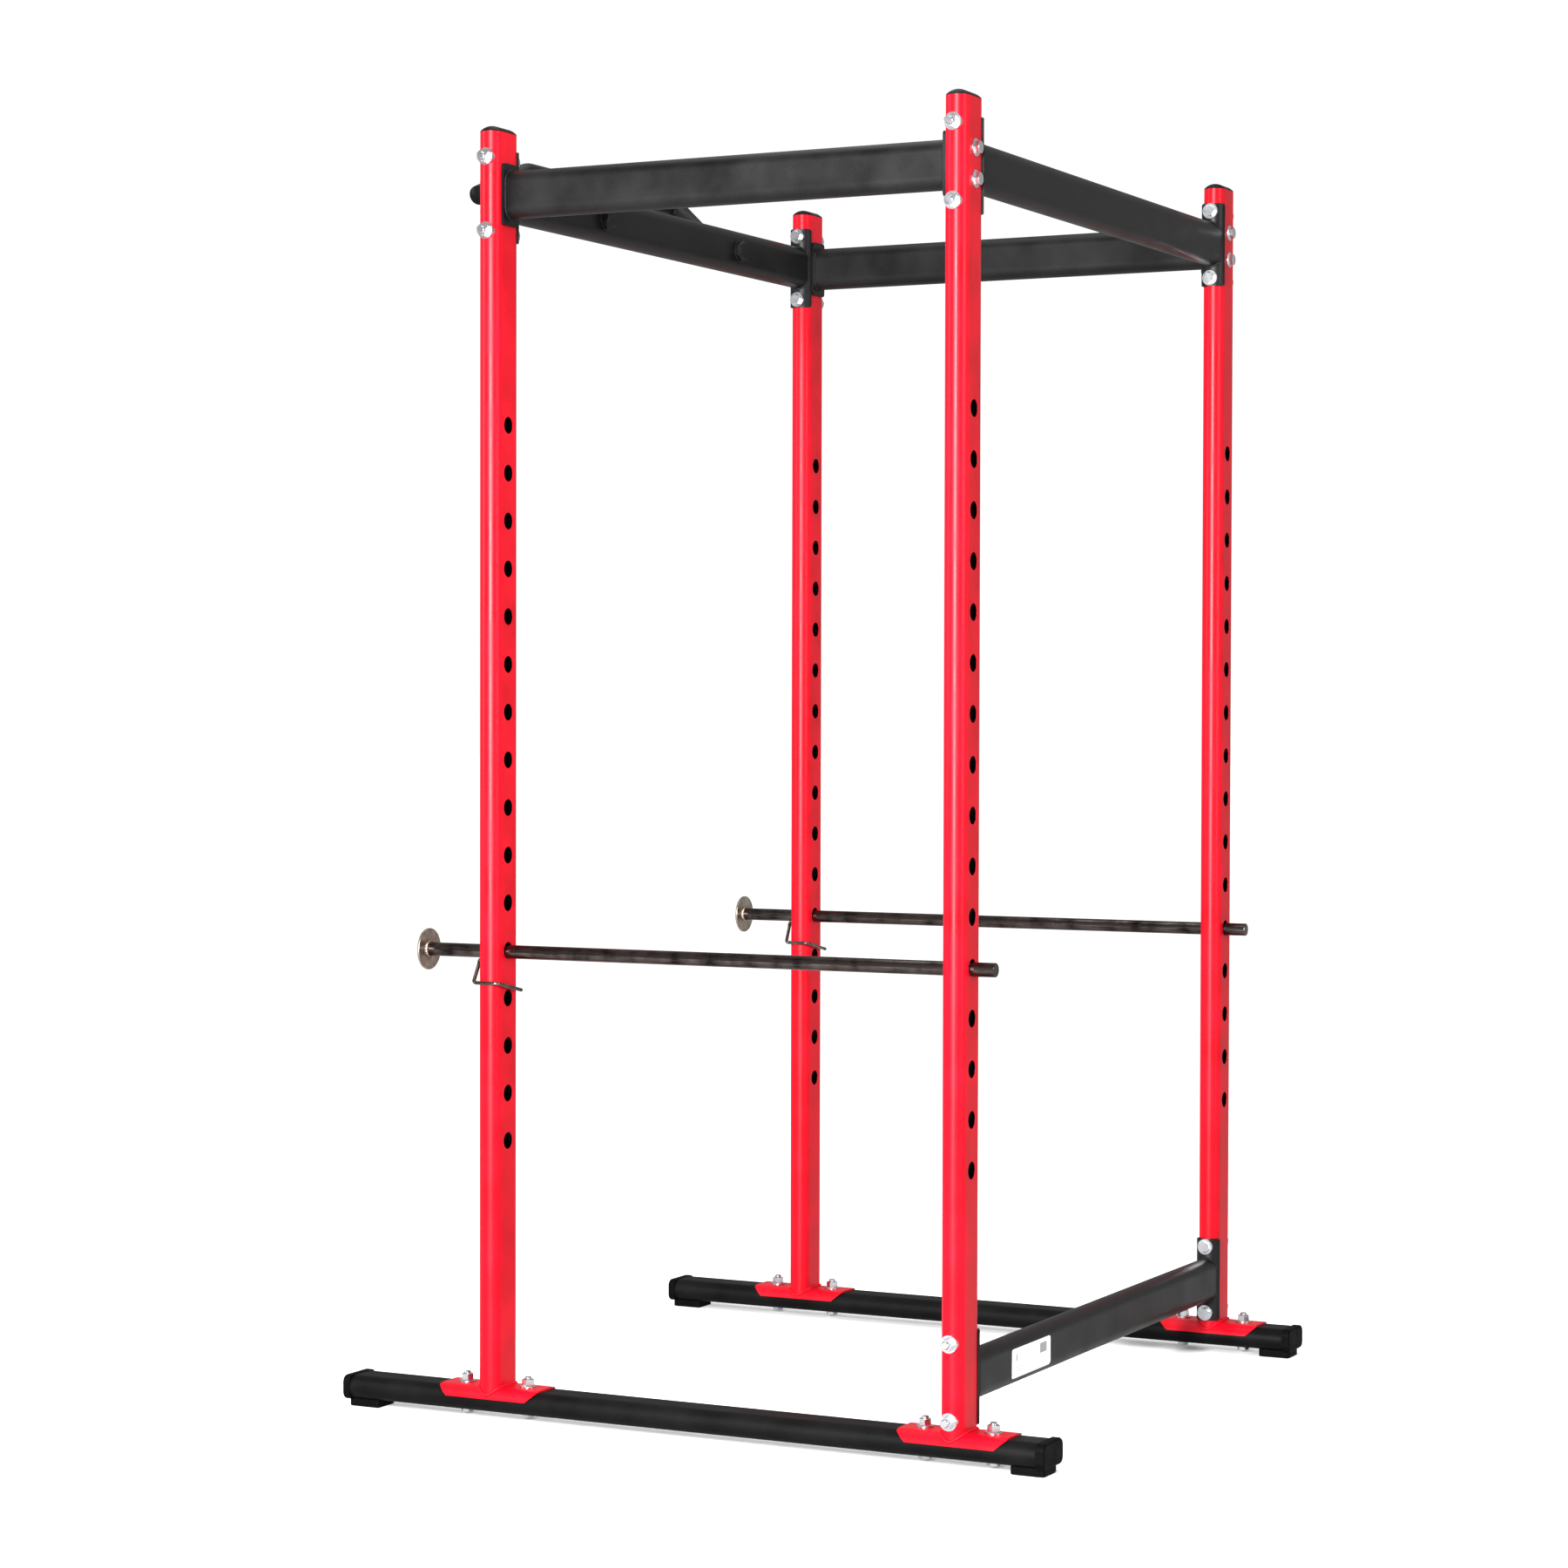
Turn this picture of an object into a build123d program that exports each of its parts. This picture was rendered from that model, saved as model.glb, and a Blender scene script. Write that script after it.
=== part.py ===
from build123d import *
import os
from math import asin, cos, sin, sqrt

os.makedirs("parts", exist_ok=True)

# Power cage in flat-oval steel tube. Millimetres, +Z up, front at -Y, right at +X.
# The origin is on the floor under the middle of the two base tubes.

# ---------------------------------------------------------------- driving sizes
TUBE_W = 76.2           # flat-oval tube, long side
TUBE_T = 38.1           # flat-oval tube, short side, rounded all the way
TUBE_WALL = 2.0

SPAN_X = 1112.0         # between the upright axes, left to right
SPAN_Y = 810.0          # between the upright axes, front to rear
UPRIGHT_LEN = 2000.0

BASE_LEN = 1208.0       # base tube without its end caps
REAR_OVERHANG = 140.0   # rear upright axis to the tube's rear end
FOOT_DROP = 13.0        # floor to the underside of the base tube

SADDLE_T = 3.0          # formed plate welded under each upright
SADDLE_LEN = 180.0      # along the top
SADDLE_EDGE_LEN = 146.0  # along the lower edges
SADDLE_EDGE_RISE = 4.0  # lower edges above the base tube's middle
SADDLE_BOLT_PITCH = 113.0

HOLE_D = 27.0           # adjustment holes
HOLE_PITCH = 76.2
HOLE_COUNT = 16
TOP_HOLE_DROP = 464.0   # upright top to the first hole

TOP_BEAM_DROP = 99.0    # upright top to the middle of the top beams
LOW_BEAM_RISE = 77.0    # saddle top to the middle of the low beam
SIDE_PLATE_H = 98.0     # flat end plates of the side beams
SIDE_PLATE_W = 46.0
SIDE_BOLT_PITCH = 47.0
SIDE_PLATE_T = 5.0
CROSS_PLATE_H = 145.0   # curved end plates of the cross beams
CROSS_PLATE_T = 4.0
CROSS_PLATE_EDGE = 8.0  # plate edges short of the tube's arc centre
CROSS_BOLT_PITCH = 117.0
PLATE_R = 6.0           # corners of all the plates

BOLT_D = 12.0
BOLT_HOLE_D = 13.0
HEX_AF = 18.0
HEAD_H = 7.5
NUT_H = 10.5
THREAD_STUB = 4.0
WASHER_D = 27.0
WASHER_T = 2.5
ARC_WASHER_T = 3.0      # hollowed washers on round faces, at their thinnest

POST_CAP_RIM = 1.2      # domed plug in each upright's top
POST_CAP_DOME = 8.6
POST_CAP_PLUG = 22.0

FOOT_LIP_SIDE = 0.9     # moulded end cap of the base tubes, past the tube at each side
FOOT_LIP_TOP = 0.95     # and above and below it
FOOT_HEAD_L = 14.0
FOOT_HEAD_R = 12.0
FOOT_EDGE_R = 4.0
FOOT_PLUG_L = 25.0
FOOT_PAD_W = 50.0
FOOT_PAD_L = 56.0
FOOT_PAD_INSET = 5.0
FOOT_PAD_R = 5.0
FOOT_PAD_CHAMFER = 1.5
PLUG_GAP = 0.2          # every moulded plug inside its tube

GRIP_D = 32.0           # pull-up bar
GRIP_WALL = 2.5
GRIP_REACH = 118.0      # in front of the front beam's middle
GRIP_RISE = 83.0        # above the front beam's middle
GRIP_FLAT_HALF = 268.0  # straight middle, half length to the bend
GRIP_END_HALF = 425.0
GRIP_END_DROP = 58.0
GRIP_BEND_R = 60.0
GRIP_PLUG_L = 18.0
GRIP_PLUG_DOME = 4.0
ARM_D = 28.6
ARM_WALL = 2.5
ARM_HALF_SPAN = 242.0
ARM_FOOT_RISE = 15.0    # above the front beam's middle
ARM_PLATE_W = 60.0
ARM_PLATE_H = 56.0
ARM_PLATE_RISE = 8.0    # its middle above the front beam's middle
ARM_PLATE_T = 8.0
ARM_BOLT_D = 20.0
ARM_BOLT_HOLE_D = 21.0
ARM_BOLT_AF = 30.0
ARM_HEAD_H = 10.0
ARM_WASHER_D = 40.0
ARM_WASHER_T = 3.0

LABEL_L = 153.0
LABEL_H = 46.0
LABEL_T = 0.3
LABEL_R = 5.0
LABEL_X = 322.0
LABEL_DROP = 2.5

BAR_D = 22.0            # safety bars
BAR_LEN = 1000.0
BAR_TAIL = 39.0         # past the rear upright's rear face
BAR_HOLE = 12           # counted from the top
BAR_GAP = 0.3           # above the bottom of the hole
BAR_CHAMFER = 1.0
DISC_D = 67.0
DISC_T = 4.0
DISC_EDGE_R = 0.8
COLLAR_D = 30.0
COLLAR_L = 5.0

WIRE_D = 6.0            # hook under each safety bar
HOOK_BEND_R = 8.0
HOOK_FRONT = 14.0       # root in front of the upright's front face
HOOK_SIDE = 6.0         # side run outside the upright's round side
HOOK_BACK = 7.0         # tip run behind the upright's rear face
HOOK_DROP = 48.0        # side run below the bar's axis
HOOK_TIP_DROP = 15.0    # tip below the side run
HOOK_TIP_REACH = 29.0   # tip past the upright's axis

# ---------------------------------------------------------------- worked-out places
half_w = TUBE_W / 2
half_t = TUBE_T / 2
arc_offset = half_w - half_t

foot_head_w = TUBE_W + 2 * FOOT_LIP_SIDE
foot_head_h = TUBE_T + 2 * FOOT_LIP_TOP

z_base_mid = FOOT_DROP + half_t
z_base_top = FOOT_DROP + TUBE_T
z_saddle_top = z_base_top + SADDLE_T
z_top = z_saddle_top + UPRIGHT_LEN
z_top_beam = z_top - TOP_BEAM_DROP
z_low_beam = z_saddle_top + LOW_BEAM_RISE
z_first_hole = z_top - TOP_HOLE_DROP
z_hole_middle = z_first_hole - (HOLE_COUNT - 1) * HOLE_PITCH / 2

y_rear = BASE_LEN / 2 - REAR_OVERHANG
y_front = y_rear - SPAN_Y
x_side = SPAN_X / 2

sides = {"right": 1, "left": -1}
posts = {
    f"{end}_{side}": (sign * x_side, y, end)
    for side, sign in sides.items()
    for end, y in (("front", y_front), ("rear", y_rear))
}
cross_beams = {
    "front_beam": (y_front, z_top_beam),
    "rear_top_beam": (y_rear, z_top_beam),
    "rear_low_beam": (y_rear, z_low_beam),
}

z_grip = z_top_beam + GRIP_RISE
y_grip = y_front - GRIP_REACH
y_arm_plate = y_front - half_t - ARM_PLATE_T
z_arm_foot = z_top_beam + ARM_FOOT_RISE

y_bar_tail = y_rear + half_t + BAR_TAIL
y_disc = y_bar_tail - BAR_LEN
z_bar = z_first_hole - (BAR_HOLE - 1) * HOLE_PITCH - (HOLE_D - BAR_D) / 2 + BAR_GAP


def plane_z(x, y, z):
    """Sketch plane seen from above."""
    return Plane(origin=(x, y, z), x_dir=(1, 0, 0), z_dir=(0, 0, 1))


def plane_y(x, y, z):
    """Upright sketch plane facing the front: sketch x along X, sketch y along Z."""
    return Plane(origin=(x, y, z), x_dir=(1, 0, 0), z_dir=(0, -1, 0))


def plane_x(x, y, z):
    """Upright sketch plane facing right: sketch x along Y, sketch y along Z."""
    return Plane(origin=(x, y, z), x_dir=(0, 1, 0), z_dir=(1, 0, 0))


def oval(grow=0.0, turned=0):
    """Flat-oval outline of the tube, grown outwards by a distance."""
    return SlotOverall(TUBE_W + 2 * grow, TUBE_T + 2 * grow, rotation=turned)


def oval_wall(turned=0):
    """Section of the flat-oval tube."""
    oval(turned=turned)
    SlotOverall(TUBE_W - 2 * TUBE_WALL, TUBE_T - 2 * TUBE_WALL, rotation=turned, mode=Mode.SUBTRACT)


def dome_profile(radius, height):
    """Half section of a shallow dome, from its axis to its rim."""
    sphere_r = (radius**2 + height**2) / (2 * height)
    half_angle = asin(radius / sphere_r) / 2
    middle = (sphere_r * sin(half_angle), height - sphere_r + sphere_r * cos(half_angle))
    with BuildLine() as outline:
        ThreePointArc((0, height), middle, (radius, 0))
        Polyline((radius, 0), (0, 0), (0, height))
    return outline.line


def save(piece, name):
    """Label a finished piece and write its file."""
    piece.label = name
    export_step(piece, f"parts/{name}.step")


# ---------------------------------------------------------------- uprights
for post, (x, y, end) in posts.items():
    with BuildPart() as upright:
        with BuildSketch(plane_z(x, y, z_base_mid)):
            oval_wall()
        extrude(amount=z_top - z_base_mid)
        # The foot is coped to the saddle's round top.
        with BuildSketch(plane_y(x, y, z_base_mid)):
            oval(SADDLE_T)
        extrude(amount=TUBE_T, both=True, mode=Mode.SUBTRACT)
        with BuildSketch(plane_y(x, y, z_hole_middle)):
            with GridLocations(1, HOLE_PITCH, 1, HOLE_COUNT):
                Circle(HOLE_D / 2)
        extrude(amount=TUBE_T, both=True, mode=Mode.SUBTRACT)
        with BuildSketch(plane_y(x, y, z_top_beam)):
            with GridLocations(1, SIDE_BOLT_PITCH, 1, 2):
                Circle(BOLT_HOLE_D / 2)
        extrude(amount=TUBE_T, both=True, mode=Mode.SUBTRACT)
        beam_heights = [z_top_beam, z_low_beam] if end == "rear" else [z_top_beam]
        for z in beam_heights:
            with BuildSketch(plane_x(x, y, z)):
                with GridLocations(1, CROSS_BOLT_PITCH, 1, 2):
                    Circle(BOLT_HOLE_D / 2)
            extrude(amount=TUBE_W, both=True, mode=Mode.SUBTRACT)
    save(upright.part, f"upright_{post}")

    with BuildPart() as saddle:
        with BuildSketch(plane_y(x, y, z_base_mid)):
            oval(SADDLE_T)
            SlotOverall(TUBE_W, TUBE_T, mode=Mode.SUBTRACT)
            with Locations((0, SADDLE_EDGE_RISE - TUBE_W)):
                Rectangle(2 * TUBE_W, 2 * TUBE_W, mode=Mode.SUBTRACT)
        extrude(amount=SADDLE_LEN / 2, both=True)
        # Both ends slant in towards the lower edges.
        with BuildSketch(plane_x(x, y, z_base_mid)):
            with BuildLine():
                Polyline(
                    (-SADDLE_EDGE_LEN / 2, SADDLE_EDGE_RISE),
                    (SADDLE_EDGE_LEN / 2, SADDLE_EDGE_RISE),
                    (SADDLE_LEN / 2, half_t),
                    (SADDLE_LEN / 2, half_t + SADDLE_T),
                    (-SADDLE_LEN / 2, half_t + SADDLE_T),
                    (-SADDLE_LEN / 2, half_t),
                    close=True,
                )
            make_face()
        extrude(amount=TUBE_W, both=True, mode=Mode.INTERSECT)
        with BuildSketch(plane_z(x, y, z_saddle_top)):
            with GridLocations(1, SADDLE_BOLT_PITCH, 1, 2):
                Circle(BOLT_HOLE_D / 2)
        extrude(amount=-2 * SADDLE_T, mode=Mode.SUBTRACT)
    save(saddle.part, f"saddle_{post}")

    with BuildPart() as post_cap:
        with BuildSketch(plane_z(x, y, z_top)):
            oval()
        extrude(amount=POST_CAP_RIM)
        with BuildSketch(plane_x(x, y, z_top + POST_CAP_RIM)) as dome_section:
            add(make_face(dome_profile(half_t, POST_CAP_DOME), mode=Mode.PRIVATE))
            mirror(about=Plane.YZ)
        extrude(amount=arc_offset, both=True)
        for sign in (-1, 1):
            x_arc = x + sign * arc_offset
            with BuildSketch(plane_x(x_arc, y, z_top + POST_CAP_RIM)):
                add(make_face(dome_profile(half_t, POST_CAP_DOME), mode=Mode.PRIVATE))
            revolve(axis=Axis((x_arc, y, z_top), (0, 0, 1)))
        with BuildSketch(plane_z(x, y, z_top)):
            oval(-TUBE_WALL - PLUG_GAP)
        extrude(amount=-POST_CAP_PLUG)
    save(post_cap.part, f"post_cap_{post}")

# ---------------------------------------------------------------- base tubes and their feet
for side, sign in sides.items():
    x = sign * x_side
    with BuildPart() as base_tube:
        with BuildSketch(plane_y(x, 0, z_base_mid)):
            oval_wall()
        extrude(amount=BASE_LEN / 2, both=True)
        for y in (y_front, y_rear):
            with BuildSketch(plane_z(x, y, z_base_mid)):
                with GridLocations(1, SADDLE_BOLT_PITCH, 1, 2):
                    Circle(BOLT_HOLE_D / 2)
            extrude(amount=TUBE_T, both=True, mode=Mode.SUBTRACT)
    save(base_tube.part, f"base_tube_{side}")

    for end, out in (("front", -1), ("rear", 1)):
        y_mouth = out * BASE_LEN / 2
        y_pad = y_mouth + out * (FOOT_HEAD_L - FOOT_PAD_INSET - FOOT_PAD_L / 2)
        with BuildPart() as foot:
            with BuildSketch(plane_y(x, y_mouth, z_base_mid)):
                RectangleRounded(foot_head_w, foot_head_h, FOOT_HEAD_R)
            extrude(amount=-out * FOOT_HEAD_L)
            outer_face = foot.faces().sort_by(Axis.Y)[-1 if out > 0 else 0]
            fillet(outer_face.edges(), FOOT_EDGE_R)
            with BuildSketch(plane_y(x, y_mouth, z_base_mid)):
                oval(-TUBE_WALL - PLUG_GAP)
            extrude(amount=out * FOOT_PLUG_L)
            with BuildSketch(plane_z(x, y_pad, 0)):
                RectangleRounded(FOOT_PAD_W, FOOT_PAD_L, FOOT_PAD_R)
            extrude(amount=FOOT_DROP)
            chamfer(foot.faces().sort_by(Axis.Z)[0].edges(), FOOT_PAD_CHAMFER)
        save(foot.part, f"foot_{end}_{side}")

# ---------------------------------------------------------------- side beams, front to rear
y_plate_front = y_front + half_t + SIDE_PLATE_T
y_plate_rear = y_rear - half_t - SIDE_PLATE_T

for side, sign in sides.items():
    x = sign * x_side
    with BuildPart() as side_beam:
        with BuildSketch(plane_y(x, y_plate_rear, z_top_beam)):
            oval_wall(turned=90)
        extrude(amount=y_plate_rear - y_plate_front)
    save(side_beam.part, f"side_beam_{side}")

    with BuildPart() as side_plates:
        for y in (y_plate_front, y_rear - half_t):
            with BuildSketch(plane_y(x, y, z_top_beam)):
                RectangleRounded(SIDE_PLATE_W, SIDE_PLATE_H, PLATE_R)
                with GridLocations(1, SIDE_BOLT_PITCH, 1, 2):
                    Circle(BOLT_HOLE_D / 2, mode=Mode.SUBTRACT)
            extrude(amount=SIDE_PLATE_T)
    save(side_plates.part, f"side_beam_plates_{side}")

# ---------------------------------------------------------------- cross beams, left to right
x_arc = x_side - arc_offset
plate_r = half_t + CROSS_PLATE_T
cross_plate_w = 2 * sqrt(plate_r**2 - CROSS_PLATE_EDGE**2) + 1.0  # so that only the corners are cut

for name, (y, z) in cross_beams.items():
    with BuildPart() as cross_beam:
        with BuildSketch(plane_x(0, y, z)):
            oval_wall(turned=90)
        extrude(amount=x_arc, both=True)
        # The ends are coped to the curved plates.
        for sign in (-1, 1):
            with BuildSketch(plane_z(sign * x_arc, y, z)):
                Circle(plate_r)
            extrude(amount=TUBE_W, both=True, mode=Mode.SUBTRACT)
        if name == "front_beam":
            with BuildSketch(plane_y(0, y, z)):
                with GridLocations(2 * ARM_HALF_SPAN, 1, 2, 1):
                    Circle(ARM_BOLT_HOLE_D / 2)
            extrude(amount=TUBE_T, both=True, mode=Mode.SUBTRACT)
    save(cross_beam.part, name)

    with BuildPart() as cross_plates:
        for sign in (-1, 1):
            with BuildSketch(plane_z(sign * x_arc, y, z)):
                Circle(plate_r)
                Circle(half_t, mode=Mode.SUBTRACT)
                with Locations((sign * (TUBE_W - CROSS_PLATE_EDGE), 0)):
                    Rectangle(2 * TUBE_W, 2 * TUBE_W, mode=Mode.SUBTRACT)
            extrude(amount=CROSS_PLATE_H / 2, both=True)
        with BuildSketch(plane_x(0, y, z)):
            RectangleRounded(cross_plate_w, CROSS_PLATE_H, PLATE_R)
            with GridLocations(1, CROSS_BOLT_PITCH, 1, 2):
                Circle(BOLT_HOLE_D / 2, mode=Mode.SUBTRACT)
        extrude(amount=x_side, both=True, mode=Mode.INTERSECT)
    save(cross_plates.part, f"{name}_plates")

# ---------------------------------------------------------------- pull-up bar on the front beam
with BuildPart() as pullup_bar:
    with BuildLine(plane_y(0, y_grip, z_grip)) as grip_path:
        FilletPolyline(
            (-GRIP_END_HALF, -GRIP_END_DROP),
            (-GRIP_FLAT_HALF, 0),
            (GRIP_FLAT_HALF, 0),
            (GRIP_END_HALF, -GRIP_END_DROP),
            radius=GRIP_BEND_R,
        )
    with BuildSketch(Plane(origin=grip_path.line @ 0, z_dir=grip_path.line % 0)):
        Circle(GRIP_D / 2)
        Circle(GRIP_D / 2 - GRIP_WALL, mode=Mode.SUBTRACT)
    sweep()
save(pullup_bar.part, "pullup_bar")

arm_foot = Vector(0, y_arm_plate, z_arm_foot)
arm_reach = Vector(0, y_grip, z_grip) - arm_foot
arm_start = arm_foot - arm_reach.normalized() * ARM_D

with BuildPart() as pullup_arms:
    with BuildSketch(Plane(origin=arm_start, x_dir=(1, 0, 0), z_dir=arm_reach)):
        with GridLocations(2 * ARM_HALF_SPAN, 1, 2, 1):
            Circle(ARM_D / 2)
            Circle(ARM_D / 2 - ARM_WALL, mode=Mode.SUBTRACT)
    extrude(amount=arm_reach.length + ARM_D)
    # The upper ends are coped to the bar and the feet cut flush with their plates.
    with BuildSketch(plane_x(0, y_grip, z_grip)):
        Circle(GRIP_D / 2)
    extrude(amount=GRIP_FLAT_HALF, both=True, mode=Mode.SUBTRACT)
    split(bisect_by=plane_y(0, y_arm_plate, z_arm_foot), keep=Keep.TOP)
save(pullup_arms.part, "pullup_arms")

with BuildPart() as pullup_arm_plates:
    with BuildSketch(plane_y(0, y_front - half_t, z_top_beam)):
        with Locations((-ARM_HALF_SPAN, ARM_PLATE_RISE), (ARM_HALF_SPAN, ARM_PLATE_RISE)):
            RectangleRounded(ARM_PLATE_W, ARM_PLATE_H, PLATE_R)
        with GridLocations(2 * ARM_HALF_SPAN, 1, 2, 1):
            Circle(ARM_BOLT_D / 2, mode=Mode.SUBTRACT)
    extrude(amount=ARM_PLATE_T)
save(pullup_arm_plates.part, "pullup_arm_plates")

with BuildPart() as pullup_plugs:
    for place, inward in ((0, 1), (1, -1)):
        mouth = Plane(origin=grip_path.line @ place, z_dir=(grip_path.line % place) * inward)
        with BuildSketch(mouth):
            Circle(GRIP_D / 2 - GRIP_WALL - PLUG_GAP)
        extrude(amount=GRIP_PLUG_L)
        across = mouth.z_dir.cross(Vector(0, 1, 0))
        with BuildSketch(Plane(origin=mouth.origin, x_dir=(0, 1, 0), z_dir=across)):
            add(make_face(dome_profile(GRIP_D / 2, GRIP_PLUG_DOME), mode=Mode.PRIVATE))
        revolve(axis=Axis(mouth.origin, mouth.z_dir))
save(pullup_plugs.part, "pullup_plugs")

# ---------------------------------------------------------------- label on the rear low beam
with BuildPart() as label_plate:
    with BuildSketch(plane_x(LABEL_X, y_rear, z_low_beam)):
        oval(LABEL_T, turned=90)
        SlotOverall(TUBE_W, TUBE_T, rotation=90, mode=Mode.SUBTRACT)
    extrude(amount=LABEL_L / 2, both=True)
    with BuildSketch(plane_y(LABEL_X, y_rear, z_low_beam - LABEL_DROP)):
        RectangleRounded(LABEL_L, LABEL_H, LABEL_R)
    extrude(amount=-TUBE_T, mode=Mode.INTERSECT)
save(label_plate.part, "label_plate")


# ---------------------------------------------------------------- fasteners
def seat_plane(origin, direction):
    """Plane a fastener stands on, turned so that its hexagon has a flat on top."""
    return Plane(origin=origin, x_dir=(1, 0, 0) if direction[0] == 0 else (0, 1, 0), z_dir=direction)


def hex_bolts(seats, grip, bolt_d=BOLT_D, across_flats=HEX_AF, head_h=HEAD_H):
    """Hex bolts with their heads behind the seats and their shanks running on for the grip."""
    with BuildPart() as bolts:
        with BuildSketch(*seats):
            RegularPolygon(across_flats / 2, 6, major_radius=False)
        extrude(amount=-head_h)
        with BuildSketch(*seats):
            Circle(bolt_d / 2)
        extrude(amount=grip)
    return bolts.part


def hex_nuts(seats):
    """Hex nuts standing on the seats."""
    with BuildPart() as nuts:
        with BuildSketch(*seats):
            RegularPolygon(HEX_AF / 2, 6, major_radius=False)
            Circle(BOLT_D / 2, mode=Mode.SUBTRACT)
        extrude(amount=NUT_H)
    return nuts.part


def flat_washers(seats, outer_d=WASHER_D, inner_d=BOLT_HOLE_D, thickness=WASHER_T):
    """Flat washers standing on the seats."""
    with BuildPart() as washers:
        with BuildSketch(*seats):
            Circle(outer_d / 2)
            Circle(inner_d / 2, mode=Mode.SUBTRACT)
        extrude(amount=thickness)
    return washers.part


# Cross beams: heads and hollowed washers on the curved plates, nuts on the uprights' outer sides.
cross_grip = CROSS_PLATE_T + TUBE_W + 2 * ARC_WASHER_T
for name, (y, z) in cross_beams.items():
    bolt_heights = (z - CROSS_BOLT_PITCH / 2, z + CROSS_BOLT_PITCH / 2)
    head_seats = []
    nut_seats = []
    for sign in (-1, 1):
        for z_bolt in bolt_heights:
            x_head = x_side - half_w - CROSS_PLATE_T - ARC_WASHER_T
            x_nut = x_head + cross_grip
            head_seats.append(seat_plane((sign * x_head, y, z_bolt), (sign, 0, 0)))
            nut_seats.append(seat_plane((sign * x_nut, y, z_bolt), (sign, 0, 0)))
    save(hex_bolts(head_seats, cross_grip + NUT_H + THREAD_STUB), f"{name}_bolts")
    save(hex_nuts(nut_seats), f"{name}_nuts")

    with BuildPart() as arc_washers:
        for sign in (-1, 1):
            for inward, seat_r in ((1, plate_r), (-1, half_t)):
                x_seat = sign * (x_side - inward * arc_offset)
                seats = [seat_plane((x_seat, y, z_bolt), (-sign * inward, 0, 0)) for z_bolt in bolt_heights]
                with BuildSketch(*seats):
                    Circle(WASHER_D / 2)
                    Circle(BOLT_HOLE_D / 2, mode=Mode.SUBTRACT)
                extrude(amount=seat_r + ARC_WASHER_T)
                with BuildSketch(plane_z(x_seat, y, z)):
                    Circle(seat_r)
                extrude(amount=CROSS_PLATE_H / 2, both=True, mode=Mode.SUBTRACT)
    save(arc_washers.part, f"{name}_washers")

# Side beams: heads on the uprights' outer faces, weld nuts inside the beams' ends.
side_grip = WASHER_T + TUBE_T + SIDE_PLATE_T
head_seats = []
washer_seats = []
nut_seats = []
for x, y, end in posts.values():
    inward = 1 if end == "front" else -1
    for z_bolt in (z_top_beam - SIDE_BOLT_PITCH / 2, z_top_beam + SIDE_BOLT_PITCH / 2):
        y_head = y - inward * (half_t + WASHER_T)
        head_seats.append(seat_plane((x, y_head, z_bolt), (0, inward, 0)))
        nut_seats.append(seat_plane((x, y_head + inward * side_grip, z_bolt), (0, inward, 0)))
save(hex_bolts(head_seats, side_grip + NUT_H + THREAD_STUB), "side_beam_bolts")
save(flat_washers(head_seats), "side_beam_washers")
save(hex_nuts(nut_seats), "side_beam_weld_nuts")

# Saddles: heads under the base tubes, nuts on top.
saddle_grip = TUBE_T + SADDLE_T + WASHER_T
head_seats = []
washer_seats = []
nut_seats = []
for x, y, end in posts.values():
    for y_bolt in (y - SADDLE_BOLT_PITCH / 2, y + SADDLE_BOLT_PITCH / 2):
        head_seats.append(seat_plane((x, y_bolt, FOOT_DROP), (0, 0, 1)))
        washer_seats.append(seat_plane((x, y_bolt, z_saddle_top), (0, 0, 1)))
        nut_seats.append(seat_plane((x, y_bolt, z_saddle_top + WASHER_T), (0, 0, 1)))
save(hex_bolts(head_seats, saddle_grip + NUT_H + THREAD_STUB), "saddle_bolts")
save(flat_washers(washer_seats), "saddle_washers")
save(hex_nuts(nut_seats), "saddle_nuts")

# Pull-up arms: one large bolt each, tapped into the arm's plate.
arm_grip = ARM_WASHER_T + TUBE_T + ARM_PLATE_T
head_seats = [
    seat_plane((sign * ARM_HALF_SPAN, y_front + half_t + ARM_WASHER_T, z_top_beam), (0, -1, 0)) for sign in (-1, 1)
]
save(hex_bolts(head_seats, arm_grip, ARM_BOLT_D, ARM_BOLT_AF, ARM_HEAD_H), "pullup_bolts")
save(flat_washers(head_seats, ARM_WASHER_D, ARM_BOLT_HOLE_D, ARM_WASHER_T), "pullup_washers")

# ---------------------------------------------------------------- safety bars and their hooks
y_hook_root = y_front - half_t - HOOK_FRONT
y_hook_corner = y_front - half_t
y_hook_tip = y_front + half_t + HOOK_BACK
z_hook_root = z_bar - BAR_D / 2 - WIRE_D / 2
z_hook_side = z_bar - HOOK_DROP

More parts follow.
